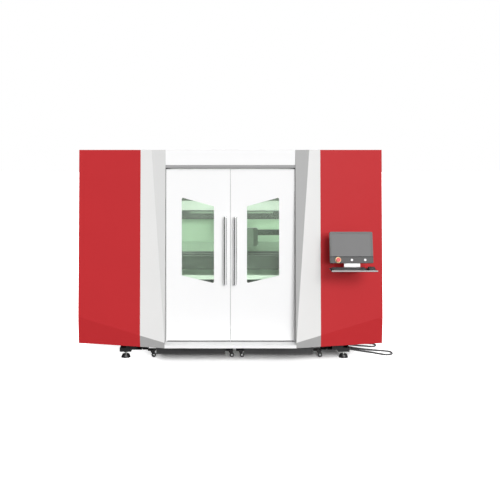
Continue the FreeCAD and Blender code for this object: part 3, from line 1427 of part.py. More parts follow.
# ---------------------------------------------------------------- hoses on the floor
GLAND_TIP = number("gland_plate_x + gland_plate + gland_length")
GLAND_Z = number("gland_height")
NEAR_FLOOR = number("near_hose_diameter") / 2 + 1
FAR_FLOOR = number("far_hose_diameter") / 2 + 1
NEAR_HOSE = [
    (0, 474, GLAND_Z), (54, 474, GLAND_Z), (148, 431, NEAR_FLOOR), (248, 374, NEAR_FLOOR),
    (332, 310, NEAR_FLOOR), (383, 286, NEAR_FLOOR), (434, 305, NEAR_FLOOR),
    (456, 354, NEAR_FLOOR), (438, 404, NEAR_FLOOR), (385, 429, NEAR_FLOOR),
    (290, 453, NEAR_FLOOR), (182, 492, NEAR_FLOOR), (96, 538, NEAR_FLOOR + 1),
    (44, 556, GLAND_Z), (0, 556, GLAND_Z),
]
FAR_HOSE = [
    (0, 640, GLAND_Z), (54, 640, GLAND_Z), (152, 632, FAR_FLOOR), (240, 612, FAR_FLOOR),
    (285, 591, FAR_FLOOR), (329, 607, FAR_FLOOR), (349, 650, FAR_FLOOR),
    (333, 694, FAR_FLOOR), (288, 715, FAR_FLOOR), (204, 722, FAR_FLOOR),
    (110, 708, FAR_FLOOR + 1), (54, 712, GLAND_Z), (0, 712, GLAND_Z),
]


def hose(name, route, diameter):
    """A tube from the gland tips along straight runs joined by tangent arcs."""
    points = [Vector(GLAND_TIP + out, y, z) for out, y, z in route]
    edges = []
    last = points[0]
    radii = []
    for before, corner, after in zip(points, points[1:], points[2:]):
        came = (corner - before).normalize()
        goes = (after - corner).normalize()
        turn = came.getAngle(goes)
        cut_back = 0.45 * min((corner - before).Length, (after - corner).Length)
        radius = cut_back / math.tan(turn / 2)
        radii.append(radius)
        start, end = corner - came * cut_back, corner + goes * cut_back
        centre = corner + (goes - came).normalize() * (radius / math.cos(turn / 2))
        middle = centre + (corner - centre).normalize() * radius
        edges.append(Part.LineSegment(last, start).toShape())
        edges.append(Part.Arc(start, middle, end).toShape())
        last = end
    edges.append(Part.LineSegment(last, points[-1]).toShape())
    path = Part.Wire(edges)
    first = (points[1] - points[0]).normalize()
    ring = Part.Wire([Part.Circle(points[0], first, diameter / 2).toShape()])
    shape = path.makePipeShell([ring], True, False)
    section = math.pi * diameter ** 2 / 4
    print("%s: radii %s, volume/section*length %.5f" % (
        name, " ".join("%.0f" % radius for radius in radii),
        shape.Volume / (section * path.Length)))
    made = doc.addObject("Part::Feature", name)
    made.Shape = shape
    return node(made, name)


def glands():
    """Plate under the right skid with four round glands for the hoses."""
    x = "gland_plate_x + gland_plate"
    made = [box("gland_plate", "gland_plate_x", x, "gland_front", "gland_back", "2",
                "skid_bottom")]
    for y in (NEAR_HOSE[0][1], NEAR_HOSE[-1][1], FAR_HOSE[0][1], FAR_HOSE[-1][1]):
        one = doc.addObject("Part::Cylinder", "gland")
        bind(one, "Radius", "gland_across / 2")
        bind(one, "Height", "gland_length")
        one.Placement.Rotation = Rotation(Y_AXIS, 90)
        bind(one, "Placement.Base.x", x)
        bind(one, "Placement.Base.y", y)
        bind(one, "Placement.Base.z", "gland_height")
        made.append(one)
    return node(fuse("gland_set", made), "hose_glands")


glands()
hose("near_hose", NEAR_HOSE, number("near_hose_diameter"))
hose("far_hose", FAR_HOSE, number("far_hose_diameter"))


# ---------------------------------------------------------------- checks and export
doc.recompute()
for item in doc.Objects:
    if "Invalid" in item.State or "Error" in item.State:
        raise RuntimeError("%s (%s) failed: %s" % (item.Name, item.Label, item.State))
for item in nodes:
    if item.Shape.isNull() or not item.Shape.isValid() or not item.Shape.Solids:
        raise RuntimeError("%s has no valid solid" % item.Label)

os.makedirs("parts", exist_ok=True)
for item in nodes:
    item.Shape.exportStep(os.path.join("parts", item.Label + ".step"))
    print("%-26s %2d solids %10.0f cm3" % (item.Label, len(item.Shape.Solids),
                                          item.Shape.Volume / 1000))
print("%d sub-parts" % len(nodes))
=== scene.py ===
import json
import math
import bpy
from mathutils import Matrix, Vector

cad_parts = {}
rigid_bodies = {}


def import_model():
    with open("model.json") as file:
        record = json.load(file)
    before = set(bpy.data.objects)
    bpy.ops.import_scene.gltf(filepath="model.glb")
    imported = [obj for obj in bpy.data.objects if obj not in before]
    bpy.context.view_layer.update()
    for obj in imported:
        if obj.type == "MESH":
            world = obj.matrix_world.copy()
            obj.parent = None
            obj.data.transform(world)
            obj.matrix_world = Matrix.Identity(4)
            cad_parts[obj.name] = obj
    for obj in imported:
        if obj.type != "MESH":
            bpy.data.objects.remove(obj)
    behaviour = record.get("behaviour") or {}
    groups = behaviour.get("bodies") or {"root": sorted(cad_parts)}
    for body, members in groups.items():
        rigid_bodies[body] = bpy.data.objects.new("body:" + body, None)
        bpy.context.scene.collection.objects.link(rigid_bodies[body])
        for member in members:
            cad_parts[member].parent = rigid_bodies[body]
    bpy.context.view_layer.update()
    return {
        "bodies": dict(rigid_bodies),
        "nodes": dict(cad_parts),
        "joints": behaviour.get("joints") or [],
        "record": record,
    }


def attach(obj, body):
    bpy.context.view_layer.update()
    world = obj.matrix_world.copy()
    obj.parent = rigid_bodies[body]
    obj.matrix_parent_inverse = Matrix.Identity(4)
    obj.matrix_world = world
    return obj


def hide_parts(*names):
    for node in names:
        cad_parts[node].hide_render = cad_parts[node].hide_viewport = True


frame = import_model()
nodes = frame["nodes"]
sill = -0.785   # y of the sill plane; depths in this file are measured back from it
print("frame loaded:", len(nodes), "nodes")


# camera: level with the roof, upright picture plane, seven metres before the sill
cameraValues = {"place": (0, -7.785, 2.0), "lens": 54, "sensor": 36,
                "shiftX": 0.0391, "shiftY": -0.2003}


def addCamera(values):
    bpy.context.scene.view_settings.view_transform = "Standard"
    lens = bpy.data.cameras.new("photoCamera")
    lens.lens, lens.sensor_width = values["lens"], values["sensor"]
    lens.shift_x, lens.shift_y = values["shiftX"], values["shiftY"]
    lens.clip_end = 200
    camera = bpy.data.objects.new("photoCamera", lens)
    camera.location = values["place"]
    camera.rotation_euler = (math.radians(90), 0, 0)
    bpy.context.scene.collection.objects.link(camera)
    bpy.context.scene.camera = camera


addCamera(cameraValues)


# service hoses on the floor: (x, depth from the sill, height) in metres
nearHoseValues = {"name": "nearServiceHose", "node": "near_hose", "diameter": 0.018,
                  "length": 1.05, "points": [
    (1.136, 0.474, 0.017), (1.190, 0.474, 0.017), (1.284, 0.431, 0.010), (1.384, 0.374, 0.010),
    (1.468, 0.310, 0.010), (1.519, 0.286, 0.010), (1.570, 0.305, 0.010), (1.587, 0.354, 0.010),
    (1.574, 0.404, 0.010), (1.521, 0.429, 0.010), (1.426, 0.453, 0.010), (1.318, 0.492, 0.010),
    (1.232, 0.538, 0.011), (1.180, 0.556, 0.017), (1.136, 0.556, 0.017)]}
farHoseValues = {"name": "farServiceHose", "node": "far_hose", "diameter": 0.016,
                 "length": 0.80, "points": [
    (1.136, 0.640, 0.017), (1.190, 0.640, 0.017), (1.288, 0.632, 0.009), (1.376, 0.612, 0.009),
    (1.421, 0.591, 0.009), (1.465, 0.607, 0.009), (1.485, 0.650, 0.009), (1.469, 0.694, 0.009),
    (1.424, 0.715, 0.009), (1.340, 0.722, 0.009), (1.246, 0.708, 0.010), (1.190, 0.712, 0.017),
    (1.136, 0.712, 0.017)]}


def layHose(values):
    line = bpy.data.curves.new(values["name"], "CURVE")
    line.dimensions = "3D"
    run = line.splines.new("NURBS")
    run.points.add(len(values["points"]) - 1)
    for spot, (x, depth, z) in zip(run.points, values["points"]):
        spot.co = (x, sill + depth, z, 1)
        spot.radius = values["diameter"] / 2   # the tube's radius, so the curve's box fits it
    run.order_u = 3
    run.use_endpoint_u = True
    run.resolution_u = 12
    line.bevel_depth = 1
    line.bevel_resolution = 6
    line.use_fill_caps = True
    hose = bpy.data.objects.new(values["name"], line)
    bpy.context.scene.collection.objects.link(hose)
    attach(hose, "machine")
    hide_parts(values["node"])
    return hose


nearHose = layHose(nearHoseValues)
farHose = layHose(farHoseValues)
print("camera and hoses placed")


# finishes: colours are linear, sizes in metres
def addNode(tree, kind, inputs=None, **settings):
    made = tree.nodes.new("ShaderNode" + kind)
    for key, value in settings.items():
        setattr(made, key, value)
    for key, value in (inputs or {}).items():
        if isinstance(value, bpy.types.NodeSocket):
            tree.links.new(value, made.inputs[key])
        else:
            made.inputs[key].default_value = value
    return made


def newFinish(name, roughness, metallic=0.0, gleam=0.5):
    finish = bpy.data.materials.new(name)
    finish.use_nodes = True
    shader = finish.node_tree.nodes["Principled BSDF"]
    shader.inputs["Specular IOR Level"].default_value = gleam
    shader.inputs["Roughness"].default_value = roughness
    shader.inputs["Metallic"].default_value = metallic
    return finish, finish.node_tree, shader


def grey(level):
    return level, level, level


def calculate(tree, operation, *values):
    return addNode(tree, "Math", dict(enumerate(values)), operation=operation).outputs[0]


def objectAxes(tree):
    where = addNode(tree, "TexCoord").outputs["Object"]
    return addNode(tree, "SeparateXYZ", {"Vector": where}).outputs


def speckle(tree, size, detail=2.0, stretch=(1, 1, 1)):
    # noise on object coordinates; stretch draws the grain out along an axis
    where = addNode(tree, "TexCoord").outputs["Object"]
    if stretch != (1, 1, 1):
        where = addNode(tree, "Mapping", {"Vector": where, "Scale": stretch}).outputs[0]
    return addNode(tree, "TexNoise", {"Vector": where, "Scale": 1 / size,
                                      "Detail": detail}).outputs["Fac"]


def mixColour(tree, amount, low, high):
    return addNode(tree, "Mix", {0: amount, 6: low, 7: high}, data_type="RGBA").outputs[2]


def cloud(tree, noise, colour, amount):
    # a shade darker and a shade lighter than the colour, by the noise
    low = [max(0, channel * (1 - amount)) for channel in colour] + [1]
    high = [min(1, channel * (1 + amount)) for channel in colour] + [1]
    return mixColour(tree, noise, low, high)


def spread(tree, value, lowIn, highIn, lowOut, highOut):
    made = addNode(tree, "MapRange", {
        "Value": value, "From Min": lowIn, "From Max": highIn, "To Min": lowOut, "To Max": highOut})
    return made.outputs["Result"]


def zone(colour, left=None, front=None, bottom=None, right=None, back=None, top=None):
    # a box of object coordinates to repaint; a side without a value stays open
    return (left, front, bottom), (right, back, top), colour


zoneEdge = 0.0004    # half the width over which a zone fades out
facetEdge = 0.01     # the same for facets, as a share of the normal


def insideBox(tree, low, high):
    # 1 within the box and 0 outside
    axes = objectAxes(tree)
    inside = None
    for axis, ends in zip("XYZ", zip(low, high)):
        for edge, before, after in zip(ends, (0, 1), (1, 0)):
            if edge is not None:
                step = spread(tree, axes[axis], edge - zoneEdge, edge + zoneEdge, before, after)
                inside = step if inside is None else calculate(tree, "MULTIPLY", inside, step)
    return inside


def colourZones(tree, colour, values):
    # zones first, then facets that face a given way; the facets, and some of the zones, are painted
    # shade or painted light
    for low, high, zoneColour in values.get("zones", ()):
        colour = mixColour(tree, insideBox(tree, low, high), colour, (*zoneColour, 1))
    for way, least, shadeColour in values.get("facets", ()):
        normal = addNode(tree, "NewGeometry").outputs["True Normal"]
        towards = addNode(tree, "VectorMath", {0: normal, 1: way},
                          operation="DOT_PRODUCT").outputs["Value"]
        facing = spread(tree, towards, least - facetEdge, least + facetEdge, 0, 1)
        colour = mixColour(tree, facing, colour, (*shadeColour, 1))
    return colour


def feed(tree, shader, colour, roughness=None):
    tree.links.new(colour, shader.inputs["Base Color"])
    if roughness:
        tree.links.new(roughness, shader.inputs["Roughness"])


def emboss(tree, shader, value, strength, depth):
    bump = addNode(tree, "Bump", {"Height": value, "Strength": strength, "Distance": depth})
    tree.links.new(bump.outputs["Normal"], shader.inputs["Normal"])


# powder coats: a cloud of shade, a rougher and smoother patchwork and fine orange peel;
# each row holds what differs from the base
paintBase = {"roughness": 0.50, "gleam": 0.25, "shade": 0.05, "cloud": 0.35, "patch": 0.04,
             "patchSpread": 0.05, "peel": 0.0012, "peelDepth": 0.00010, "strength": 0.5}
noiseBand = (0.3, 0.7)    # where most of a noise lies
redCoat = {"colour": (0.492, 0.025, 0.030), "gleam": 0.16, "shade": 0.03, "peel": 0.0016,
           "peelDepth": 0.00012}
paintValues = {
    "redPaint": redCoat,
    # painted shade: the inner facets, which face sideways, and the chin, which faces down, are
    # darker
    "silverPaint": {"colour": (0.735, 0.733, 0.727), "roughness": 0.48, "gleam": 0.16,
                    "shade": 0.02, "peelDepth": 0.00008,
                    "facets": (((1, 0, 0), 0.245, (0.600, 0.600, 0.596)),
                               ((-1, 0, 0), 0.245, (0.450, 0.450, 0.448)),
                               ((0, 0, -1), 0.060, (0.380, 0.380, 0.378)))},
    "whitePaint": {"colour": (0.835, 0.835, 0.838), "roughness": 0.44, "gleam": 0.30,
                   "shade": 0.012, "peel": 0.0014},
    # painted shadow: below 1.829 m the trim is near black, for the shade at the lip's lower edge
    "trimPaint": {"colour": grey(0.32), "roughness": 0.45, "shade": 0.03,
                  "zones": (zone(grey(0.07), top=1.8290),)},
    "greyPaint": {"colour": (0.135, 0.134, 0.133), "roughness": 0.45,
                  "zones": (zone(grey(0.81), front=1.0500),)},
    "consolePaint": {"colour": grey(0.165), "gleam": 0.14, "shade": 0.04,
                     "zones": (zone(grey(0.106), top=1.0248),)},
    "armPaint": {**redCoat, "zones": (zone(grey(0.93), bottom=0.9040, back=-0.8550),)},
    # the tray is dark with a pale strip along the top of its front edge; below the strip the dark
    # base stands as painted shadow under the lip
    "trayPaint": {"colour": (0.045, 0.045, 0.047), "shade": 0.06,
                  "zones": (zone((0.56, 0.52, 0.52), bottom=0.9105, back=-1.0735),)},
    # painted shade: the sides that face right are darker
    "coverPaint": {"colour": (0.235, 0.255, 0.235), "roughness": 0.45, "shade": 0.04,
                   "facets": (((1, 0, 0), 0.300, (0.150, 0.165, 0.150)),)},
    "darkPaint": {"colour": (0.040, 0.040, 0.041), "roughness": 0.55, "gleam": 0.50,
                  "shade": 0.10, "peel": 0.0010, "peelDepth": 0.00012},
    "skidPaint": {"colour": (0.014, 0.014, 0.015), "roughness": 0.55, "shade": 0.10,
                  "peel": 0.0010, "peelDepth": 0.00012},
    # the back wall is green below 1.25 m and darker in steps further down, which is painted shade;
    # the fume duct on it is grey
    "linerPaint": {"colour": (0.52, 0.54, 0.52), "roughness": 0.55, "shade": 0.03,
                   "peel": 0.0014,
                   "zones": (*(zone((red, green, red), front=0.9340, top=top)
                               for top, red, green in ((1.250, 0.54, 0.69), (1.100, 0.52, 0.66),
                                                       (1.030, 0.50, 0.635), (0.980, 0.48, 0.61))),
                             zone((0.20, 0.22, 0.20), front=0.8240, bottom=1.4070,
                                  back=0.9340, top=1.6010))},
    # the tie bar at the front of the bed is white
    "bedPaint": {"colour": (0.112, 0.118, 0.112), "shade": 0.08, "peel": 0.0016,
                 "peelDepth": 0.00018,
                 "zones": (zone(grey(0.86), back=sill + 0.4304, top=0.7700),)},
    "beamPaint": {"colour": (0.066, 0.073, 0.066), "peel": 0.0016, "peelDepth": 0.00012},
    # painted light: above 1.27 m, between x -0.459 and 0.486, the rails are paler where their tops
    # catch the light
    "railPaint": {"colour": (0.060, 0.064, 0.060), "roughness": 0.45, "gleam": 0.20,
                  "shade": 0.06, "peel": 0.0016, "peelDepth": 0.00006,
                  "zones": (zone((0.16, 0.19, 0.16), left=-0.459, bottom=1.2700, right=0.486),
                            zone((0.075, 0.078, 0.075), back=-0.3000))},
    # painted shade: the hopper is dark below 0.735 m
    "hopperPaint": {"colour": (0.58, 0.65, 0.58), "roughness": 0.55, "shade": 0.06,
                    "peel": 0.0016, "peelDepth": 0.00012,
                    "zones": (zone((0.165, 0.175, 0.165), top=0.7350),)},
}


def makePaint(name, differences):
    values = {**paintBase, **differences}
    rough, change = values["roughness"], values["patchSpread"]
    finish, tree, shader = newFinish(name, rough, gleam=values["gleam"])
    colour = cloud(tree, speckle(tree, values["cloud"], 3), values["colour"], values["shade"])
    patch = speckle(tree, values["patch"], 4)
    feed(tree, shader, colourZones(tree, colour, values),
         spread(tree, patch, *noiseBand, rough - change, rough + change))
    emboss(tree, shader, speckle(tree, values["peel"], 1), values["strength"],
           values["peelDepth"])
    return finish


# metals: grain drawn out along the way they were ground or turned, which is a little
# smoother on one side of the metalBand and rougher on the other
metalBand = (0.25, 0.75)
smoother, rougher = 0.75, 1.3
grainStrength = 0.4
metalValues = {
    "groundSteel": {"colour": (0.46, 0.47, 0.48), "roughness": 0.30, "grain": (1, 40, 40),
                    "size": 0.020, "shade": 0.10, "depth": 0.00004},
    "brushedChrome": {"colour": (0.93, 0.93, 0.94), "roughness": 0.045, "grain": (60, 60, 1),
                      "size": 0.060, "shade": 0.04, "depth": 0.00001},
    "machinedAlloy": {"colour": (0.66, 0.67, 0.69), "roughness": 0.34, "grain": (30, 1, 30),
                      "size": 0.015, "shade": 0.06, "depth": 0.00004,
                      "zones": (zone(grey(0.09), 0.2700, sill + 0.4440, 1.1520,
                                     0.5220, sill + 0.4860, 1.2070),)},
    "zincPlate": {"colour": (0.62, 0.63, 0.62), "roughness": 0.32, "grain": (1, 1, 1),
                  "size": 0.004, "shade": 0.12, "depth": 0.00003},
    "copperTip": {"colour": (0.80, 0.36, 0.20), "roughness": 0.28, "grain": (30, 30, 1),
                  "size": 0.006, "shade": 0.10, "depth": 0.00003},
}


def makeMetal(name, values):
    rough = values["roughness"]
    finish, tree, shader = newFinish(name, rough, 1.0)
    grain = speckle(tree, values["size"], 3, values["grain"])
    colour = cloud(tree, grain, values["colour"], values["shade"])
    feed(tree, shader, colourZones(tree, colour, values),
         spread(tree, grain, *metalBand, rough * smoother, rough * rougher))
    emboss(tree, shader, grain, grainStrength, values["depth"])
    return finish


# mouldings: plain plastics and rubbers with a fine spark-eroded grain; the base again holds
# what they share
mouldBase = {"shade": 0.08, "cloud": 0.03, "smoother": 0.06, "rougher": 0.08, "relief": 0.06,
             "strength": 0.5}
mouldValues = {
    "blackPlastic": {"colour": (0.018, 0.018, 0.020), "roughness": 0.48, "size": 0.0011},
    "greyPlastic": {"colour": (0.13, 0.13, 0.135), "roughness": 0.50, "size": 0.0011},
    "redPlastic": {"colour": (0.64, 0.026, 0.024), "roughness": 0.42, "size": 0.0030},
    "whitePlastic": {"colour": (0.82, 0.82, 0.82), "roughness": 0.32, "size": 0.0030},
    "yellowPlastic": {"colour": (0.88, 0.63, 0.27), "roughness": 0.40, "size": 0.0030},
    "keyPlastic": {"colour": (0.040, 0.040, 0.042), "roughness": 0.48, "size": 0.0011},
    "paleRubber": {"colour": (0.40, 0.40, 0.40), "roughness": 0.60, "size": 0.0011},
    "hoseRubber": {"colour": (0.115, 0.115, 0.118), "roughness": 0.50, "size": 0.0016},
    "wheelRubber": {"colour": (0.028, 0.028, 0.030), "roughness": 0.62, "size": 0.0018},
    "sealRubber": {"colour": (0.012, 0.012, 0.013), "roughness": 0.70, "size": 0.0009},
}


def makeMould(name, differences):
    values = {**mouldBase, **differences}
    rough, size = values["roughness"], values["size"]
    finish, tree, shader = newFinish(name, rough)
    grain = speckle(tree, size, 2)
    feed(tree, shader,
         cloud(tree, speckle(tree, values["cloud"], 4), values["colour"], values["shade"]),
         spread(tree, grain, *noiseBand, rough - values["smoother"], rough + values["rougher"]))
    emboss(tree, shader, grain, values["strength"], size * values["relief"])
    return finish


# slats: mill scale, and tooth tips paler behind the first row, which stays dark
slatValues = {"roughness": 0.60, "metallic": 0.3, "gleam": 0.3, "mottle": 0.020,
              "scale": (0.100, 0.103, 0.103), "scaleShade": 0.30,
              "tooth": (0.29, 0.37, 0.29), "toothShade": 0.08,
              "valley": 0.962, "tip": 0.967, "firstRow": sill + 0.600, "strength": 0.6,
              "depth": 0.0003}


def makeSlatSteel(roughness, metallic, gleam, mottle, scale, scaleShade, tooth, toothShade,
                  valley, tip, firstRow, strength, depth):
    finish, tree, shader = newFinish("slatSteel", roughness, metallic, gleam)
    noise = speckle(tree, mottle, 5)
    teeth = spread(tree, objectAxes(tree)["Z"], valley, tip, 0.0, 1.0)
    low, high, pale = zone(cloud(tree, noise, tooth, toothShade), front=firstRow)
    worn = calculate(tree, "MULTIPLY", teeth, insideBox(tree, low, high))
    feed(tree, shader, mixColour(tree, worn, cloud(tree, noise, scale, scaleShade), pale))
    emboss(tree, shader, noise, strength, depth)
    return finish


# safety glass: tinted all through, with a faint ripple
glassValues = {"colour": (0.73, 0.895, 0.73), "shade": 0.02, "roughness": 0.02, "ior": 1.45,
               "size": 0.3, "ripple": 0.25, "strength": 0.1, "depth": 0.0005}


def makeGreenGlass(colour, shade, roughness, ior, size, ripple, strength, depth):
    finish, tree, shader = newFinish("greenGlass", roughness)
    shader.inputs["Transmission Weight"].default_value = 1.0
    shader.inputs["IOR"].default_value = ior
    feed(tree, shader, cloud(tree, speckle(tree, size, 1), colour, shade))
    emboss(tree, shader, speckle(tree, ripple, 1), strength, depth)
    return finish


# display: dark grey anti-glare glass over a lightly clouded panel
screenValues = {"low": (0.160, 0.160, 0.161, 1), "high": (0.172, 0.172, 0.173, 1),
                "roughness": 0.42, "gleam": 0.14, "size": 0.12, "grain": 0.0008,
                "strength": 0.3, "depth": 0.00002}


def makeScreenGlass(low, high, roughness, gleam, size, grain, strength, depth):
    finish, tree, shader = newFinish("screenGlass", roughness, gleam=gleam)
    feed(tree, shader, mixColour(tree, speckle(tree, size, 2), low, high))
    emboss(tree, shader, speckle(tree, grain, 1), strength, depth)
    return finish


# levelling feet: black pad below, zinc stud and nut above
footValues = {"roughness": 0.40, "padTop": 0.0305, "fade": 0.0005, "grain": 0.004,
              "rubber": ((0.012, 0.012, 0.013, 1), (0.022, 0.022, 0.024, 1)),
              "zinc": ((0.50, 0.51, 0.50, 1), (0.70, 0.70, 0.68, 1)), "strength": 0.4,
              "depth": 0.0002}


def makeFootFinish(roughness, padTop, fade, grain, rubber, zinc, strength, depth):
    finish, tree, shader = newFinish("footFinish", roughness)
    metal = spread(tree, objectAxes(tree)["Z"], padTop, padTop + fade, 0.0, 1.0)
    noise = speckle(tree, grain, 3)
    feed(tree, shader, mixColour(tree, metal, mixColour(tree, noise, *rubber),
                                 mixColour(tree, noise, *zinc)))
    tree.links.new(metal, shader.inputs["Metallic"])
    emboss(tree, shader, noise, strength, depth)
    return finish


finishes = {name: makePaint(name, values) for name, values in paintValues.items()}
finishes.update({name: makeMetal(name, values) for name, values in metalValues.items()})
finishes.update({name: makeMould(name, values) for name, values in mouldValues.items()})
finishes["slatSteel"] = makeSlatSteel(**slatValues)
finishes["greenGlass"] = makeGreenGlass(**glassValues)
finishes["screenGlass"] = makeScreenGlass(**screenValues)
finishes["footFinish"] = makeFootFinish(**footValues)
print("finishes made:", len(finishes))


# the other slots name their finish, as red_paint does redPaint
slotFinish = {"bare_steel": "groundSteel", "plated_steel": "brushedChrome"}


def finishFor(slotName):
    first, second = slotName.split("_")
    return slotFinish.get(slotName, first + second.capitalize())


def coat(piece, finishName):
    if piece.material_slots:
        for place in piece.material_slots:
            place.material = finishes[finishName]
    else:
        piece.data.materials.append(finishes[finishName])


# these nodes take a finish of their own in place of their slot's
nodeFinish = {
    "levelling_feet": "footFinish", "header_trim": "trimPaint", "gantry_end_cover": "coverPaint",
    "keyboard": "keyPlastic", "mouse": "keyPlastic", "rear_guide_beam": "beamPaint",
    "x_guide_rails": "railPaint", "scrap_hopper": "hopperPaint",
    "console_housing": "consolePaint", "console_arm": "armPaint",
    "keyboard_tray": "trayPaint", "base_frame": "skidPaint"}
nodeFinish.update({name: "skidPaint" for name in nodes if name.endswith("_fork")})
for row in frame["record"]["subparts"]:
    coat(nodes[row["node"]], nodeFinish.get(row["node"], finishFor(row["material_slot"])))
coat(nearHose, "hoseRubber")
coat(farHose, "hoseRubber")
print("nodes coated")


# modelling helpers: everything is added at its place and settled onto the origin
ways = {"x": Vector((1, 0, 0)), "y": Vector((0, 1, 0)), "z": Vector((0, 0, 1))}
sides = (("left", -1), ("right", 1))
turns = {"x": (0, math.radians(90), 0), "y": (math.radians(-90), 0, 0), "z": (0, 0, 0)}
hexagon = 6


def at(x, depth, z):
    return Vector((x, sill + depth, z))


def clearSelection():
    bpy.ops.object.select_all(action="DESELECT")


def activate(piece):
    clearSelection()
    piece.select_set(True)
    bpy.context.view_layer.objects.active = piece


def settle(piece):
    activate(piece)
    bpy.ops.object.transform_apply(location=True, rotation=True, scale=True)
    return piece


def callIt(name):
    piece = bpy.context.object
    piece.name = piece.data.name = name
    return piece


def addBlock(name, cornerA, cornerB):
    clearSelection()
    low = Vector([min(pair) for pair in zip(cornerA, cornerB)])
    high = Vector([max(pair) for pair in zip(cornerA, cornerB)])
    bpy.ops.mesh.primitive_cube_add(size=1, location=(low + high) / 2)
    piece = callIt(name)
    piece.scale = high - low
    return settle(piece)


def addRound(name, start, radius, length, along, sideCount, tip=None):
    clearSelection()
    bpy.ops.mesh.primitive_cone_add(
        vertices=sideCount, radius1=radius, radius2=radius if tip is None else tip,
        depth=length, location=Vector(start) + ways[along] * length / 2,
        rotation=turns[along])
    return settle(callIt(name))


def pickFaces(piece, test):
    # leaves edit mode on, with the faces that pass the test selected
    activate(piece)
    bpy.ops.object.mode_set(mode="EDIT")
    bpy.ops.mesh.select_mode(type="FACE")
    bpy.ops.mesh.select_all(action="DESELECT")
    bpy.ops.object.mode_set(mode="OBJECT")
    for face in piece.data.polygons:
        face.select = test(face)
    bpy.ops.object.mode_set(mode="EDIT")


def leaveEdit(piece):
    bpy.ops.mesh.select_all(action="SELECT")
    bpy.ops.mesh.normals_make_consistent(inside=False)
    bpy.ops.object.mode_set(mode="OBJECT")
    return piece


def openUp(piece, along, rim):
    # a hole right through, a rim of this width left round it
    pickFaces(piece, lambda face: abs(face.normal.dot(ways[along])) > 0.99)
    bpy.ops.mesh.inset(thickness=rim, use_individual=True)
    bpy.ops.mesh.bridge_edge_loops()
    return leaveEdit(piece)


def soften(piece, width, segments=2, angle=30):
    activate(piece)
    bevel = piece.modifiers.new("soften", "BEVEL")
    bevel.width, bevel.segments = width, segments
    bevel.limit_method, bevel.angle_limit = "ANGLE", math.radians(angle)
    bpy.ops.object.modifier_apply(modifier="soften")
    bpy.ops.object.shade_smooth_by_angle(angle=math.radians(angle))
    return piece


def repeatAlong(piece, count, step):
    activate(piece)
    row = piece.modifiers.new("row", "ARRAY")
    row.count, row.use_relative_offset, row.use_constant_offset = count, False, True
    row.constant_offset_displace = step
    bpy.ops.object.modifier_apply(modifier="row")
    return piece


def joinPieces(pieces, name):
    clearSelection()
    for piece in pieces:
        piece.select_set(True)
    bpy.context.view_layer.objects.active = pieces[0]
    if len(pieces) > 1:
        bpy.ops.object.join()
    pieces[0].name = pieces[0].data.name = name
    return pieces[0]


def carve(piece, cutters):
    for cutter in cutters:
        activate(piece)
        cut = piece.modifiers.new("carve", "BOOLEAN")
        cut.operation, cut.solver, cut.object = "DIFFERENCE", "EXACT", cutter
        bpy.ops.object.modifier_apply(modifier="carve")
        bpy.data.objects.remove(cutter)
    return piece


def takeNode(nodeName, name):
    # a copy of a CAD node to carve; its loose triangles are merged first
    piece = bpy.data.objects.new(name, nodes[nodeName].data.copy())
    piece.data.name = name
    bpy.context.scene.collection.objects.link(piece)
    activate(piece)
    bpy.ops.object.mode_set(mode="EDIT")
    bpy.ops.mesh.select_all(action="SELECT")
    bpy.ops.mesh.remove_doubles(threshold=0.00001)
    bpy.ops.mesh.dissolve_limited(angle_limit=math.radians(1))
    bpy.ops.object.mode_set(mode="OBJECT")
    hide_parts(nodeName)
    return piece


def dress(piece, body, finishName):
    piece.data.materials.clear()
    piece.data.materials.append(finishes[finishName])
    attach(piece, body)
    return piece


# door trim: strips on the leaves and their frame, window retaining frames and the rosettes
# of the pull bars; corners are (x, depth, z) on the right side
doorStrips = {
    "SeamLip": {"corners": ((0.0004, 0.150, 0.183), (0.0021, 0.176, 1.813)),
                "rounding": 0.0005, "body": "{}_door", "finish": "paleRubber"},
    "DoorSweep": {"corners": ((0.0030, 0.1384, 0.1768), (0.6020, 0.1450, 0.1846)),
                  "rounding": 0.0006, "body": "{}_door", "finish": "sealRubber"},
    # behind the leaf, where it closes the gap beside the column; its dark paint is painted shade
    # for the gap
    "JambStrip": {"corners": ((0.6020, 0.2050, 0.1752), (0.6480, 0.2080, 1.8205)),
                  "rounding": 0.0006, "body": "machine", "finish": "darkPaint"}}
rosetteValues = {"x": 0.0475, "heights": (0.852, 1.233), "radius": 0.0135, "front": 0.1368,
                 "back": 0.1401, "rounding": 0.0009}
windowFrameValues = {"inner": 0.157, "outer": 0.4635, "tops": (1.462, 1.547),
                     "bottoms": (0.731, 0.803), "grow": 0.019, "rim": 0.017, "front": 0.1491,
                     "thickness": 0.0045, "rounding": 0.001}


def addDoorStrip(name, side, way, corners, rounding, body, finish):
    strip = addBlock(side + name, *(at(way * x, depth, z) for x, depth, z in corners))
    dress(soften(strip, rounding), body.format(side), finish)


def addRosettes(side, way, x, heights, radius, front, back, rounding):
    plates = [addRound("plate", at(way * x, front, z), radius, back - front, "y", 40)
              for z in heights]
    rosettes = joinPieces(plates, side + "HandleRosettes")
    dress(soften(rosettes, rounding, 3), side + "_door", "brushedChrome")


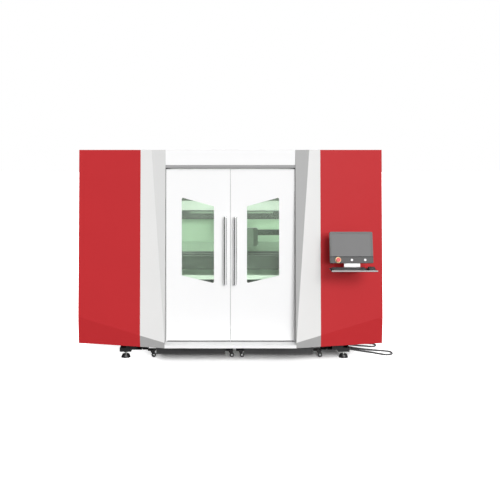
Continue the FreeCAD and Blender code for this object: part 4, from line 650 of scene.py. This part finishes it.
def addWindowFrame(side, way, inner, outer, tops, bottoms, grow, rim, front, thickness,
                   rounding):
    corners = ((inner - grow, bottoms[0] - grow), (outer + grow, bottoms[1] - grow),
               (outer + grow, tops[1] + grow), (inner - grow, tops[0] + grow))
    clearSelection()
    bpy.ops.mesh.primitive_circle_add(vertices=4, radius=0.1, fill_type="NGON")
    frame = callIt(side + "WindowFrame")
    for spot, (x, z) in zip(frame.data.vertices, corners):
        spot.co = at(way * x, front, z)
    pickFaces(frame, lambda face: True)
    bpy.ops.mesh.inset(thickness=rim)
    bpy.ops.mesh.delete(type="FACE")
    bpy.ops.mesh.select_all(action="SELECT")
    bpy.ops.mesh.extrude_region_move(TRANSFORM_OT_translate={"value": (0, thickness, 0)})
    leaveEdit(frame)
    dress(soften(frame, rounding), side + "_door", "sealRubber")


for side, way in sides:
    for name, values in doorStrips.items():
        addDoorStrip(name, side, way, **values)
    addRosettes(side, way, **rosetteValues)
    addWindowFrame(side, way, **windowFrameValues)
print("door trim modelled")


# console: gasket, seam, collars and a vented plate, drawn in the housing's own tilted frame:
# x from its middle, y into the housing and z up its face
consoleValues = {"middle": 1.1075, "front": -0.170, "bottom": 0.9688, "tilt": 12}
gasketValues = {"corners": ((-0.1812, 0.0016, 0.0603), (0.1812, 0.0032, 0.2707)),
                "rim": 0.0028, "rounding": 0.0003}
seamValues = {"corners": ((-0.1951, -0.0004, 0.0545), (0.1951, 0.0006, 0.0600)),
              "rounding": 0.0002}
stopCollar = {"places": (-0.1265,), "inner": 0.0121, "outer": 0.0262, "height": 0.0034}
keyCollars = {"places": (-0.0014, 0.1197), "inner": 0.0104, "outer": 0.0148, "height": 0.0024}
collarRow, collarRounding = 0.028, 0.0008
backPlateValues = {"left": -0.150, "low": 0.200, "right": 0.150, "high": 0.268, "face": 0.055,
                   "sunk": 0.0003, "proud": 0.0015, "rounding": 0.0006}
ventValues = {"count": 12, "pitch": 0.022, "width": 0.004, "height": 0.040,
              "front": 0.0012, "back": 0.0019, "rounding": 0.0003}
consoleScrewValues = {"inset": 0.008, "radius": 0.0035, "front": 0.0013, "height": 0.0016,
                      "rounding": 0.0006}


def onConsole(piece):
    piece.rotation_euler = (-math.radians(consoleValues["tilt"]), 0, 0)
    piece.location = at(consoleValues["middle"], consoleValues["front"],
                        consoleValues["bottom"])
    return settle(piece)


def addGasket(corners, rim, rounding):
    gasket = soften(openUp(addBlock("screenGasket", *corners), "y", rim), rounding)
    dress(onConsole(gasket), "machine", "greyPlastic")


# the black seam under the screen is partly a panel joint and partly painted shadow below the
# screen's edge
def addSeam(corners, rounding):
    seam = soften(addBlock("panelSeam", *corners), rounding)
    dress(onConsole(seam), "machine", "sealRubber")


def addCollars(places, inner, outer, height):
    collars = []
    for x in places:
        ring = addRound("collar", (x, -height, collarRow), outer, height, "y", 48)
        collars.append(onConsole(soften(openUp(ring, "y", outer - inner), collarRounding, 3)))
    return collars


def addBackPlate(left, low, right, high, face, sunk, proud, rounding):
    plate = addBlock("consoleBackPlate", (left, face - sunk, low), (right, face + proud, high))
    dress(onConsole(soften(plate, rounding)), "machine", "greyPaint")


def addVents(plate, count, pitch, width, height, front, back, rounding):
    start = -pitch * (count - 1) / 2
    middle = plate["low"] + plate["high"]
    vent = addBlock("consoleVents",
                    (start - width / 2, plate["face"] + front, (middle - height) / 2),
                    (start + width / 2, plate["face"] + back, (middle + height) / 2))
    repeatAlong(soften(vent, rounding), count, (pitch, 0, 0))
    dress(onConsole(vent), "machine", "sealRubber")


def addConsoleScrews(plate, inset, radius, front, height, rounding):
    heads = [addRound("head", (x, plate["face"] + front, z), radius, height, "y", 20)
             for x in (plate["left"] + inset, plate["right"] - inset)
             for z in (plate["low"] + inset, plate["high"] - inset)]
    screws = soften(joinPieces(heads, "consoleScrews"), rounding)
    dress(onConsole(screws), "machine", "zincPlate")


addGasket(**gasketValues)
addSeam(**seamValues)
dress(joinPieces(addCollars(**stopCollar), "stopCollar"), "machine", "yellowPlastic")
dress(joinPieces(addCollars(**keyCollars), "keyCollars"), "machine", "greyPlastic")
addBackPlate(**backPlateValues)
addVents(backPlateValues, **ventValues)
addConsoleScrews(backPlateValues, **consoleScrewValues)


# keyboard: a field of caps and a front row with a long bar; the mouse's wheel
capValues = {"margin": (0.0105, 0.011), "pitch": (0.0188, 0.0195), "cap": 0.0158,
             "sunk": 0.0006, "rise": 0.0036, "taper": 0.80}
keyValues = {"place": (0.923, -0.280, 0.9229), "slope": 3.395, "columns": 15, "rows": 4,
             "barUnits": 6, "barColumn": 4, "rounding": 0.0005}
wheelValues = {"place": (1.2730, -0.240, 0.9265), "radius": 0.0078, "width": 0.006,
               "rounding": 0.0012}


def addCap(name, column, row, units, margin, pitch, cap, sunk, rise, taper):
    x, y = margin[0] + column * pitch[0], margin[1] + row * pitch[1]
    piece = addBlock(name, (x, y, -sunk), (x + cap + (units - 1) * pitch[0], y + cap, rise))
    pickFaces(piece, lambda face: face.normal.z > 0.9)
    bpy.ops.transform.resize(value=((units - 1 + taper) / units, taper, 1))
    return leaveEdit(piece)


def addKeys(place, slope, columns, rows, barUnits, barColumn, rounding):
    across, deep = capValues["pitch"]
    field = addCap("keyField", 0, 1, 1, **capValues)
    repeatAlong(field, columns, (across, 0, 0))
    repeatAlong(field, rows, (0, deep, 0))
    leftRow = addCap("leftRow", 0, 0, 1, **capValues)
    repeatAlong(leftRow, barColumn, (across, 0, 0))
    bar = addCap("bar", barColumn, 0, barUnits, **capValues)
    rightRow = addCap("rightRow", barColumn + barUnits, 0, 1, **capValues)
    repeatAlong(rightRow, columns - barColumn - barUnits, (across, 0, 0))
    keys = joinPieces([field, leftRow, bar, rightRow], "keyboardKeys")
    keys.rotation_euler = (math.radians(slope), 0, 0)
    keys.location = at(*place)
    dress(soften(settle(keys), rounding, 1), "machine", "keyPlastic")


def addMouseWheel(place, radius, width, rounding):
    wheel = addRound("mouseWheel", at(*place), radius, width, "x", 28)
    dress(soften(wheel, rounding, 3), "machine", "greyPlastic")


addKeys(**keyValues)
addMouseWheel(**wheelValues)
print("console modelled")


# carts: rolled front hems and pull handles; casters: kingpin nuts and axle bolts
cartCentres = {"left": -0.385, "right": 0.465}
cartValues = {"width": 0.667, "front": 0.262, "hemHeight": 0.1235, "hemRadius": 0.0035,
              "hemProud": 0.0015, "hemRounding": 0.001}
gripValues = {"front": 0.262, "width": 0.13, "reach": 0.018, "height": 0.034, "low": 0.062,
              "bar": 0.008, "sunk": 0.0005, "rounding": 0.003}
casterValues = {"offset": 0.3765, "depth": 0.243, "trail": 0.022, "axle": 0.023,
                "nut": (0.0704, 0.0104, 0.0040), "forkFront": 0.2309, "forkBack": 0.2551,
                "bolt": (0.0070, 0.0024), "sunk": 0.0002, "rounding": 0.0006}


def addHem(side, centre, width, front, hemHeight, hemRadius, hemProud, hemRounding):
    hem = addRound(side + "CartHem", at(centre - width / 2, front - hemProud, hemHeight),
                   hemRadius, width, "x", 20)
    dress(soften(hem, hemRounding), side + "_cart", "darkPaint")


def addGrip(side, centre, front, width, reach, height, low, bar, sunk, rounding):
    grip = addBlock(side + "CartGrip", at(centre - width / 2, front - reach, low),
                    at(centre + width / 2, front + sunk, low + height))
    grip = soften(openUp(grip, "z", bar), rounding, 3)
    dress(grip, side + "_cart", "darkPaint")


def addCasterBolts(cart, side, centre, way, offset, depth, trail, axle, nut, forkFront,
                   forkBack, bolt, sunk, rounding):
    x = centre + way * offset
    low, radius, thick = nut
    boltRadius, boltThick = bolt
    bits = [addRound("nut", at(x, depth, low), radius, thick, "z", hexagon),
            addRound("head", at(x + trail, forkFront - boltThick, axle), boltRadius,
                     boltThick + sunk, "y", hexagon),
            addRound("end", at(x + trail, forkBack - sunk, axle), boltRadius,
                     boltThick + sunk, "y", hexagon)]
    bits = joinPieces(bits, "%sCart%sCasterBolts" % (cart, side.capitalize()))
    dress(soften(bits, rounding), "%s_cart_%s_fork" % (cart, side), "zincPlate")


for cart, centre in cartCentres.items():
    addHem(cart, centre, **cartValues)
    addGrip(cart, centre, **gripValues)
for cart, centre in cartCentres.items():
    for side, way in sides:
        addCasterBolts(cart, side, centre, way, **casterValues)
print("carts trimmed")


# hose entries: hexagon gland nuts and ribbed strain reliefs
glandValues = {"face": 1.1103, "nutLength": 0.011, "nutRadius": 0.0158, "nutRounding": 0.0009,
               "tip": 1.1355, "height": 0.017, "rib": 0.0065, "ribs": 4, "overlap": 0.0004,
               "near": (0.474, 0.556), "far": (0.640, 0.712), "extra": 0.0042,
               "taper": 0.0009, "undercut": 1.8, "ribRounding": 0.0006}


def addRelief(name, depth, diameter, values):
    ribs = []
    for step in range(values["ribs"]):
        radius = diameter / 2 + values["extra"] - values["taper"] * step
        start = at(values["tip"] + values["rib"] * step, depth, values["height"])
        ribs.append(addRound("rib", start, radius, values["rib"] + values["overlap"], "x", 28,
                             radius - values["taper"] * values["undercut"]))
    relief = soften(joinPieces(ribs, name), values["ribRounding"])
    return dress(relief, "machine", "blackPlastic")


def addHoseEntries(values):
    nuts = []
    reliefs = {"near": [], "far": []}
    for name, hoseValues in (("near", nearHoseValues), ("far", farHoseValues)):
        for number, depth in enumerate(values[name], start=1):
            nuts.append(addRound("nut", at(values["face"], depth, values["height"]),
                                 values["nutRadius"], values["nutLength"], "x", hexagon))
            reliefs[name].append(addRelief("%sHoseRelief%d" % (name, number), depth,
                                           hoseValues["diameter"], values))
    glands = soften(joinPieces(nuts, "glandNuts"), values["nutRounding"])
    dress(glands, "machine", "blackPlastic")
    return reliefs


hoseReliefs = addHoseEntries(glandValues)


# cutting head: copper nozzle, ceramic ring and knurled lock ring
headValues = {"axis": (0.0694, 1.090), "nozzle": (1.0237, 0.0046, 0.0087, 0.0172),
              "nozzleRounding": 0.0005, "rings": (
                  ("ceramicRing", "whitePlastic", 40, 1.0425, 0.0152, 0.0080),
                  ("lockRing", "machinedAlloy", 24, 1.0520, 0.0172, 0.0070)),
              "ringRounding": 0.0008}


def addHeadTrim(axis, nozzle, nozzleRounding, rings, ringRounding):
    low, tipRadius, topRadius, length = nozzle
    cone = addRound("cuttingNozzle", at(*axis, low), tipRadius, length, "z", 40, topRadius)
    dress(soften(cone, nozzleRounding), "head", "copperTip")
    for name, finish, sideCount, low, radius, height in rings:
        ring = addRound(name, at(*axis, low), radius, height, "z", sideCount)
        dress(soften(ring, ringRounding), "head", finish)


addHeadTrim(**headValues)


# chamber lamps: two extrusions with diffusers under the liner roof
ledValues = {"across": 0.62, "width": 0.046, "front": 0.34, "back": 1.60, "low": 1.902,
             "high": 1.9338, "lip": 0.006, "drop": 0.004, "sunk": 0.002,
             "shellRounding": 0.004, "stripRounding": 0.003}
diffuserValues = {"roughness": 0.4, "frost": 0.02, "dull": (0.93, 0.95, 0.95, 1),
                  "dim": (0.93, 0.97, 0.97, 1), "glow": 1.5}


def makeDiffuser(roughness, frost, dull, dim, glow):
    finish, tree, shader = newFinish("ledDiffuser", roughness)
    amount = speckle(tree, frost, 2)
    for low, socket in ((dull, "Base Color"), (dim, "Emission Color")):
        tree.links.new(mixColour(tree, amount, low, (1, 1, 1, 1)), shader.inputs[socket])
    shader.inputs["Emission Strength"].default_value = glow
    return finish


def addLedBar(side, way, across, width, front, back, low, high, lip, drop, sunk,
              shellRounding, stripRounding):
    x, half = way * across, width / 2
    shell = addBlock(side + "LampHousing", at(x - half, front, low), at(x + half, back, high))
    dress(soften(shell, shellRounding), "machine", "machinedAlloy")
    inset = half - lip
    strip = addBlock(side + "LampDiffuser", at(x - inset, front + lip, low - drop),
                     at(x + inset, back - lip, low + sunk))
    dress(soften(strip, stripRounding), "machine", "ledDiffuser")


finishes["ledDiffuser"] = makeDiffuser(**diffuserValues)
for side, way in sides:
    addLedBar(side, way, **ledValues)
print("chamber fitted")


# service panels: side, rear and roof sheets with carved door seams and sunk latches
seamWidth, seamDepth = 0.005, 0.0018
jointEnds = (0.137, 2.01)      # past both ends of the sheets
cutterProud = 0.001
latchValues = {"radius": 0.017, "gap": 0.0014, "rounding": 0.0005}
sideValues = {"face": 1.455, "door": (0.880, 0.255, 1.400, 1.760), "joints": (0.655, 1.625),
              "latches": ((0.918, 0.850), (0.918, 1.480)), "slot": (0.0014, 0.010),
              "sunk": (0.0002, 0.0003)}
rearValues = {"face": 1.860, "door": (0.440, 0.255, 1.015, 1.760), "joint": 1.220,
              "latches": ((0.480, 0.850), (0.480, 1.480)), "sunk": (0.0002, 0.0003),
              "port": (1.600, 0.105), "entry": (-0.14, 0.300, 0.14, 0.480)}
entryScrewValues = {"inset": 0.018, "radius": 0.0045, "height": 0.0012, "rounding": 0.0004}
roofValues = {"face": 2.0, "cover": (0.110, 0.640, 1.320, 1.690),
              "liftingPoints": ((1.300, 0.420), (1.300, 1.780)), "plugRadius": 0.024,
              "plugSeam": 0.003}


def onFace(along, face, a, b):
    # a and b are the two directions in the face
    return at(*{"x": (face, a, b), "y": (a, face, b), "z": (a, b, face)}[along])


def faceCutter(name, along, face, lowA, lowB, highA, highB):
    way = 1 if face > 0 else -1
    return addBlock(name, onFace(along, face + way * cutterProud, lowA, lowB),
                    onFace(along, face - way * seamDepth, highA, highB))


def seamRing(along, face, *corners):
    return openUp(faceCutter("seamCutter", along, face, *corners), along, seamWidth)


def jointSlot(along, face, place):
    return faceCutter("jointCutter", along, face, place - seamWidth / 2, jointEnds[0],
                      place + seamWidth / 2, jointEnds[1])


def sunkDisc(name, place, radius, along, sideCount=40):
    return addRound(name, place - ways[along] * seamDepth, radius, 2 * seamDepth, along,
                    sideCount)


def carvePanel(nodeName, name, cutters):
    panel = carve(takeNode(nodeName, name), cutters)
    dress(panel, "machine", "whitePaint")


def addLatch(start, height, along):
    latch = addRound("latch", start, latchValues["radius"] - latchValues["gap"], height, along,
                     40)
    return soften(latch, latchValues["rounding"])


def addSidePanel(side, way, face, door, joints, latches, slot, sunk):
    face *= way
    cutters = [seamRing("x", face, *door)]
    cutters += [jointSlot("x", face, joint) for joint in joints]
    cutters += [sunkDisc("latchCutter", at(face, depth, z), latchValues["radius"], "x")
                for depth, z in latches]
    carvePanel(side + "_side_panel", side + "SidePanel", cutters)
    inner, outer = face - way * (seamDepth + sunk[0]), face - way * sunk[1]
    bits = []
    for depth, z in latches:
        bits.append(addLatch(at(min(inner, outer), depth, z), abs(outer - inner), "x"))
        bits.append(addBlock("slot", at(outer + way * sunk[0], depth - slot[0], z - slot[1]),
                             at(inner, depth + slot[0], z + slot[1])))
    dress(joinPieces(bits, side + "SideLatches"), "machine", "zincPlate")


def addEntryScrews(face, entry, inset, radius, height, rounding):
    left, low, right, high = entry
    return [soften(addRound("screw", at(x, face - height, z), radius, height, "y", 20), rounding)
            for x in (left + inset, right - inset) for z in (low + inset, high - inset)]


def addRearPanel(face, door, joint, latches, sunk, port, entry):
    a, b, c, d = door
    cutters = []
    for side, way in sides:
        cutters += [seamRing("y", face, way * a, b, way * c, d), jointSlot("y", face, way * joint)]
        cutters += [sunkDisc("latchCutter", at(way * x, face, z), latchValues["radius"], "y")
                    for x, z in latches]
    height, radius = port
    ring = sunkDisc("portCutter", at(0, face, height), radius, "y", 64)
    cutters += [openUp(ring, "y", seamWidth), seamRing("y", face, *entry)]
    carvePanel("rear_panel", "rearPanel", cutters)
    bits = [addLatch(at(way * x, face - seamDepth - sunk[0], z),
                     seamDepth + sunk[0] - sunk[1], "y")
            for side, way in sides for x, z in latches]
    bits += addEntryScrews(face, entry, **entryScrewValues)
    dress(joinPieces(bits, "rearLatches"), "machine", "zincPlate")


def addRoof(face, cover, liftingPoints, plugRadius, plugSeam):
    a, b, c, d = cover
    cutters = []
    for side, way in sides:
        cutters.append(seamRing("z", face, way * a, b, way * c, d))
        cutters += [openUp(sunkDisc("plugCutter", at(way * x, depth, face), plugRadius, "z"),
                           "z", plugSeam) for x, depth in liftingPoints]
    carvePanel("roof_panel", "roofPanel", cutters)


for side, way in sides:
    addSidePanel(side, way, **sideValues)
addRearPanel(**rearValues)
addRoof(**roofValues)
print("service panels carved")


# studio: white floor and world, a broad key from the right, a box on the left and a lamp
# overhead that lights the floor alone and leaves it dark under the machine; turn is away
# from the front to the right, rise above the horizon
# the floor's glow is low under the middle of the machine and white under the wings, which is
# painted light
floorValues = {"size": 120, "cells": 4, "white": 0.95, "bounce": 0.11, "glow": (0.07, 0.95),
               "glowEdge": (0.20, 0.84, 1.06), "doorCentre": (0, 0.70, 0)}
skyLight = 0.58
sunValues = {"keyLamp": {"power": 2.50, "angle": 27, "turn": 13, "rise": 18},
             "overheadLamp": {"power": 4.2, "angle": 36, "turn": 0, "rise": 35}}
# the last four light the chamber: two under its roof for everything, one behind the header
# for the back wall, the bed and the rear beam, and one low behind the doors for the bed frame
areaValues = {
    "leftBox": {"power": 5, "place": (-2.7, -3.1, 1.5), "aim": (-1.2, sill, 1.1),
                "size": (1.4, 2.2), "glossy": False},
    "neckLamp": {"power": 20, "place": (1.12, -2.2, 0.80), "aim": (1.12, -0.89, 0.94),
                 "size": (0.5, 0.5), "only": ("console_arm",)},
    **{side + "RoofLamp": {"power": 9, "place": (way * 0.45, 0.10, 1.90),
                           "aim": (way * 0.45, 0.35, 0.6), "size": (0.70, 0.90)}
       for side, way in sides},
    "headerLamp": {"power": 22, "place": (0, -0.52, 1.45), "aim": (0, 0.935, 1.15),
                   "size": (1.50, 0.45),
                   "only": ("chamber_liner", "bed_slats", "rear_guide_beam", "x_guide_rails")},
    "lowLamp": {"power": 4, "place": (0, -0.55, 0.45), "aim": (0, -0.37, 0.80),
                "size": (1.50, 0.08), "only": ("bed_frame",)}}
# what mirror finishes see along x, from left to right: dark flags at both sides
flagStops = ((0.0, 0.03), (0.03, 0.02), (0.32, 0.02), (0.35, 1.0), (0.90, 1.0), (0.92, 0.05),
             (0.97, 0.05), (0.99, 0.60))


def flagLevel(tree, way):
    side = addNode(tree, "SeparateXYZ", {"Vector": way}).outputs["X"]
    ramp = addNode(tree, "ValToRGB", {"Fac": spread(tree, side, -1, 1, 0, 1)})
    while len(ramp.color_ramp.elements) < len(flagStops):
        ramp.color_ramp.elements.new(0.5)
    for stop, (place, level) in zip(ramp.color_ramp.elements, flagStops):
        stop.position = place
        stop.color = (*grey(level), 1)
    return ramp.outputs["Color"]


def seenRay(tree):
    # glossy rays, and the rays that the camera sees straight or through glass
    path = addNode(tree, "LightPath").outputs
    return path["Is Glossy Ray"], calculate(tree, "MAXIMUM", path["Is Camera Ray"],
                                            path["Is Transmission Ray"])


def addFloor(size, cells, white, bounce, glow, glowEdge, doorCentre):
    bpy.ops.mesh.primitive_grid_add(x_subdivisions=cells, y_subdivisions=cells, size=size)
    floor = callIt("studioFloor")
    finish = bpy.data.materials.new("studioFloor")
    finish.use_nodes = True
    tree = finish.node_tree
    tree.nodes.clear()
    glossy, straight = seenRay(tree)
    where = addNode(tree, "TexCoord").outputs["Object"]
    way = addNode(tree, "VectorMath", {0: where, 1: doorCentre}).outputs[0]
    way = addNode(tree, "VectorMath", {0: way}, operation="NORMALIZE").outputs[0]
    pale = addNode(tree, "BsdfDiffuse", {"Color": (*grey(bounce), 1)})
    mirrored = addNode(tree, "Emission", {"Color": flagLevel(tree, way)})
    bright = addNode(tree, "BsdfDiffuse", {"Color": (*grey(white), 1)})
    # painted light: the floor's glow rises to white under both wings and takes the machine's shadow
    # away there
    centre, inner, outer = glowEdge
    aside = calculate(tree, "ABSOLUTE",
                      calculate(tree, "SUBTRACT", objectAxes(tree)["X"], centre))
    paintedLight = addNode(tree, "Emission", {"Strength": spread(tree, aside, inner, outer, *glow)})
    both = addNode(tree, "AddShader", {0: bright.outputs[0], 1: paintedLight.outputs[0]})
    mix = addNode(tree, "MixShader", {0: glossy, 1: pale.outputs[0], 2: mirrored.outputs[0]})
    mix = addNode(tree, "MixShader", {0: straight, 1: mix.outputs[0], 2: both.outputs[0]})
    end = addNode(tree, "OutputMaterial")
    tree.links.new(mix.outputs[0], end.inputs["Surface"])
    floor.data.materials.append(finish)
    return floor


def addSky(light):
    sky = bpy.data.worlds.new("studioSky")
    bpy.context.scene.world = sky
    sky.use_nodes = True
    tree = sky.node_tree
    back = tree.nodes["Background"]
    back.inputs["Color"].default_value = (1, 1, 1, 1)
    glossy, straight = seenRay(tree)
    way = addNode(tree, "TexCoord").outputs["Generated"]
    level = addNode(tree, "Mix", {0: glossy, 2: light, 3: flagLevel(tree, way)}).outputs[0]
    level = addNode(tree, "Mix", {0: straight, 2: level, 3: 1.0}).outputs[0]
    tree.links.new(level, back.inputs["Strength"])


def addLamp(name, kind, power, place, aim, **settings):
    lamp = bpy.data.lights.new(name, kind)
    lamp.energy = power
    for key, value in settings.items():
        setattr(lamp, key, value)
    holder = bpy.data.objects.new(name, lamp)
    holder.location = place
    holder.rotation_euler = (Vector(aim) - Vector(place)).to_track_quat("-Z", "Y").to_euler()
    holder.visible_camera = False
    bpy.context.scene.collection.objects.link(holder)
    return holder


def linkLamp(lamp, pieces, state="INCLUDE"):
    # the lamp lights these pieces alone, or all but these
    linked = bpy.data.collections.new(lamp.name + "Links")
    for piece in pieces:
        linked.objects.link(piece)
    for row in linked.collection_objects:
        row.light_linking.link_state = state
    lamp.light_linking.receiver_collection = linked


def addSun(name, power, angle, turn, rise):
    turn, rise = math.radians(turn), math.radians(rise)
    way = Vector((math.sin(turn) * math.cos(rise), -math.cos(turn) * math.cos(rise),
                  math.sin(rise)))
    return addLamp(name, "SUN", power, way * 9, (0, 0, 0), angle=math.radians(angle))


def addArea(name, power, place, aim, size, only=(), glossy=True):
    lamp = addLamp(name, "AREA", power, place, aim, shape="RECTANGLE", size=size[0],
                   size_y=size[1])
    lamp.visible_glossy = glossy
    if only:
        linkLamp(lamp, [nodes[nodeName] for nodeName in only])


floor = addFloor(**floorValues)
addSky(skyLight)
for name, state in (("keyLamp", "EXCLUDE"), ("overheadLamp", "INCLUDE")):
    linkLamp(addSun(name, **sunValues[name]), [floor], state)
for name, values in areaValues.items():
    addArea(name, **values)
print("studio set")
